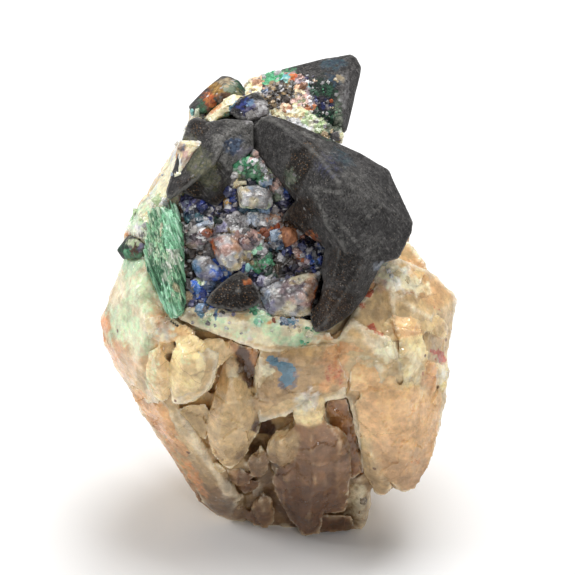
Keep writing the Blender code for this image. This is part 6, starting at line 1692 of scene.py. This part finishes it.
def sheaf_colours(face):
    """Colours of the fibres: long cells, each with a colour of the nearest zone's palette."""
    _, _, _, home = nearest_seeds(along_fibres(face), FIBRE_CELL, FIBRE_SEED)
    wobble = clouds(face, cell=0.8, seed=340) * 0.5
    owner, _ = nearest_patch(face + wobble[:, None] * np.array((1.0, 0.0, 0.0)), SHEAF_GROWTH, 0.0)
    colours = paint(np.zeros((len(face), 3)), owner, SHEAF_GROWTH, lattice(home, 335))
    return np.minimum(colours * (1.1 + 0.5 * lattice(home, 336))[:, None], 0.9)


# Splinters along the sheaf's rim: u, v of the middle, half length.
BUNDLES = [(-19.4, 11.4, 0.9), (-18.8, 11.8, 1.1), (-18.2, 12.1, 0.9), (-17.6, 12.0, 0.9),
           (-17.0, 11.2, 1.0), (-16.5, 10.7, 1.1), (-16.0, 10.4, 1.4), (-15.5, 9.8, 1.6), (-19.5, 9.4, 1.3),
           (-19.7, 7.6, 1.2), (-19.9, 6.2, 1.0), (-19.5, 4.8, 1.2), (-19.0, 3.4, 1.1), (-18.5, 2.0, 1.2),
           (-18.0, 0.6, 1.1), (-17.4, -0.8, 1.0), (-16.7, -1.8, 0.9), (-15.3, 7.4, 1.6), (-15.2, 4.6, 1.8),
           (-15.2, 1.8, 1.6), (-15.5, -0.4, 1.2), (-16.0, -1.4, 0.9), (-15.7, 12.2, 1.4),
           (-16.3, 12.6, 1.2), (-16.9, 12.8, 0.9)]


def bundle(heap, generator, surface, u, v, half):
    """A splintery bundle of fibres along the sheaf's rim."""
    place, _ = spot_on_face(surface, u, v)
    if place is None:
        return
    width = generator.uniform(0.22, 0.4)
    shift = on_face(0, 0, 0) - place
    corners = []
    for part, wide in ((-1.0, 0.3), (-0.7, 0.9), (0.6, 1.0), (1.0, 0.25)):
        down = half * part * generator.uniform(0.85, 1.15)
        for side, out in ((-wide, -0.3), (wide, -0.3), (-0.5 * wide, 0.3), (0.5 * wide, 0.3)):
            corners.append(on_face(FIBRE_LEAN * down + side * width, -down, out * wide) - shift)
    heap.add(corners, (0.0, 0.0, 0.0))


def strand(heap, generator, surface, u, v, reach):
    """One fibre: a thin three-sided strip that follows the sheaf down from (u, v)."""
    width = generator.uniform(0.08, 0.17)
    rise = generator.uniform(0.05, 0.25)
    ring = []
    for index in range(FIBRE_STEPS + 1):
        down = reach * index / FIBRE_STEPS
        place, _ = spot_on_face(surface, u + FIBRE_LEAN * down + 0.05 * math.sin(3.0 * down + u), v - down)
        if place is None:
            return
        taper = math.sin(math.pi * (0.05 + 0.9 * index / FIBRE_STEPS)) ** 0.5
        across = FACE_AXES.col[0] * width * taper * MM
        out = OUT_OF_FACE * MM
        ring.append((place - across - out * 0.2, place + out * rise * taper, place + across - out * 0.2))
    first = len(heap.corners)
    for corners in ring:
        heap.corners += [corner[:] for corner in corners]
    for index in range(FIBRE_STEPS):
        low = first + 3 * index
        for side_a, side_b in ((0, 1), (1, 2), (2, 0)):
            heap.faces.append([low + side_a, low + side_b, low + 3 + side_b, low + 3 + side_a])
    last = first + 3 * FIBRE_STEPS
    heap.faces += [[first + 2, first + 1, first], [last, last + 1, last + 2]]
    heap.colours += [(0.0, 0.0, 0.0)] * (3 * (FIBRE_STEPS + 1))


class SPECIMEN_OT_malachite(bpy.types.Operator):
    """The fibrous malachite sheaf"""
    bl_idname = "specimen.malachite"
    bl_label = "Malachite sheaf"

    def execute(self, context):
        settings = context.scene.specimen.malachite
        material = crystal_material("malachite fibres", contrast=0.7, rough=0.38, IOR=1.6, Sheen_Weight=0.2,
                                    Sheen_Roughness=0.4)
        mesh = fine_copy("malachite_sheaf", settings.grain)
        places, normals, face = surface_of(mesh)
        lift = 0.15 + ledges(along_fibres(face), FIBRE_CELL, FIBRE_SEED, tilt=0.6) * settings.relief / MM
        put_places(mesh, pushed(places, normals, lift))
        store_colour(mesh, sheaf_colours(face))
        body = new_object("malachite_sheaf_body", mesh, material)
        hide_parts("malachite_sheaf")
        surface = tree_of(mesh)
        heap = Heap()
        generator = random.Random(71)
        for _ in range(settings.strands):
            strand(heap, generator, surface, generator.uniform(-20.2, -15.0), generator.uniform(-1.5, 12.8),
                   generator.uniform(0.6, 1.8))
        around = carrying_surface("malachite_sheaf_body", "quartz", "druse_bed")
        for u, v, half in BUNDLES:
            bundle(heap, generator, around, u, v, half)
        mesh = heap.mesh("fibres")
        store_colour(mesh, sheaf_colours(to_face(places_of(mesh))) * 1.1)
        new_object("malachite_fibres", mesh, material)
        return {"FINISHED"}


# Stage -----------------------------------------------------------------------------------------------

# Soft square lights in metres and watts: place, size, power.
LIGHTS = {"top": ((0.10, 0.16, 0.62), 0.42, 4.4), "left": ((-0.55, 0.05, 0.35), 0.25, 1.9),
          "front": ((0.25, -0.70, 0.45), 0.12, 0.9)}
LIT_PLACE = Vector((0.0, 0.0, 0.03))
WORLD_STRENGTH = 0.30
# The camera's sensor width, the view's width in pixels, and its shift right and up in millimetres.
SENSOR_WIDTH = 36.0
PIXELS_ACROSS = 575
CAMERA_SHIFT = (-0.35, 1.75)


def add_light(name, place, size, power):
    data = bpy.data.lights.new(name, "AREA")
    data.shape = "SQUARE"
    data.size = size
    data.energy = power
    item = bpy.data.objects.new(name, data)
    item.location = place
    item.rotation_euler = (LIT_PLACE - Vector(place)).to_track_quat("-Z", "Y").to_euler()
    bpy.context.scene.collection.objects.link(item)


def add_floor(tint, half):
    """A wide, flat, pale floor."""
    mesh = bpy.data.meshes.new("floor")
    corners = [(-half, -half, 0.0), (half, -half, 0.0), (half, half, 0.0), (-half, half, 0.0)]
    mesh.from_pydata(corners, [], [(0, 1, 2, 3)])
    material, graph, shader = new_material("floor", Roughness=0.6)
    fine = graph.group("mottle", graph.place(), Size=60.0, Detail=3.0, Contrast=1.0)
    body = graph.blend(fine, [0.98 * part for part in tint], tint)
    graph.tree.links.new(body, shader.inputs["Base Color"])
    mesh.materials.append(material)
    item = bpy.data.objects.new("floor", mesh)
    bpy.context.scene.collection.objects.link(item)


def add_camera(settings):
    """A long lens in front of the crystal face."""
    toward = Vector((0.0, -math.cos(settings.elevation), math.sin(settings.elevation)))
    right = Vector((1.0, 0.0, 0.0))
    up = toward.cross(right)
    data = bpy.data.cameras.new("camera")
    data.sensor_width = SENSOR_WIDTH
    data.lens = data.sensor_width * settings.distance / (PIXELS_ACROSS * settings.per_pixel)
    data.clip_end = 20.0
    item = bpy.data.objects.new("camera", data)
    shift = right * CAMERA_SHIFT[0] * MM + up * CAMERA_SHIFT[1] * MM
    turn = Matrix((right, up, toward)).transposed().to_4x4()
    item.matrix_world = Matrix.Translation(FACE_ORIGIN + shift + toward * settings.distance) @ turn
    bpy.context.scene.collection.objects.link(item)
    bpy.context.scene.camera = item


class SPECIMEN_OT_stage(bpy.types.Operator):
    """The floor, the soft lights and the camera"""
    bl_idname = "specimen.stage"
    bl_label = "Stage"

    def execute(self, context):
        settings = context.scene.specimen.stage
        add_floor(settings.floor, settings.floor_reach)
        for name, (place, size, power) in LIGHTS.items():
            add_light(name, place, size, power)
        world = bpy.data.worlds.new("studio")
        world.use_nodes = True
        background = world.node_tree.nodes["Background"]
        background.inputs["Color"].default_value = (1.0, 1.0, 1.0, 1.0)
        background.inputs["Strength"].default_value = WORLD_STRENGTH
        context.scene.world = world
        context.scene.view_settings.view_transform = "Standard"
        add_camera(settings)
        return {"FINISHED"}


class SPECIMEN_PT_panel(bpy.types.Panel):
    """Lists the settings and the steps"""
    bl_idname = "SPECIMEN_PT_panel"
    bl_label = "Cuprite specimen"
    bl_space_type = "VIEW_3D"
    bl_region_type = "UI"
    bl_category = "Specimen"

    def draw(self, context):
        for operator in OPERATORS:
            self.layout.operator(operator.bl_idname)
        for group in ("quartz", "cuprite", "malachite", "druse", "stage"):
            box = self.layout.box()
            box.label(text=group.capitalize())
            settings = getattr(context.scene.specimen, group)
            for name in settings.__annotations__:
                box.prop(settings, name)


OPERATORS = (SPECIMEN_OT_quartz, SPECIMEN_OT_cuprite, SPECIMEN_OT_druse, SPECIMEN_OT_grains,
             SPECIMEN_OT_malachite, SPECIMEN_OT_stage)
CLASSES = (QuartzSettings, CupriteSettings, MalachiteSettings, DruseSettings, StageSettings,
           SpecimenSettings, *OPERATORS, SPECIMEN_PT_panel)


def register():
    for item in CLASSES:
        bpy.utils.register_class(item)
    bpy.types.Scene.specimen = bpy.props.PointerProperty(type=SpecimenSettings)


def unregister():
    del bpy.types.Scene.specimen
    for item in reversed(CLASSES):
        bpy.utils.unregister_class(item)


def main():
    register()
    build_groups()
    bpy.ops.specimen.quartz()
    bpy.ops.specimen.cuprite()
    bpy.ops.specimen.druse()
    bpy.ops.specimen.grains()
    bpy.ops.specimen.malachite()
    bpy.ops.specimen.stage()


if __name__ == "__main__":
    main()
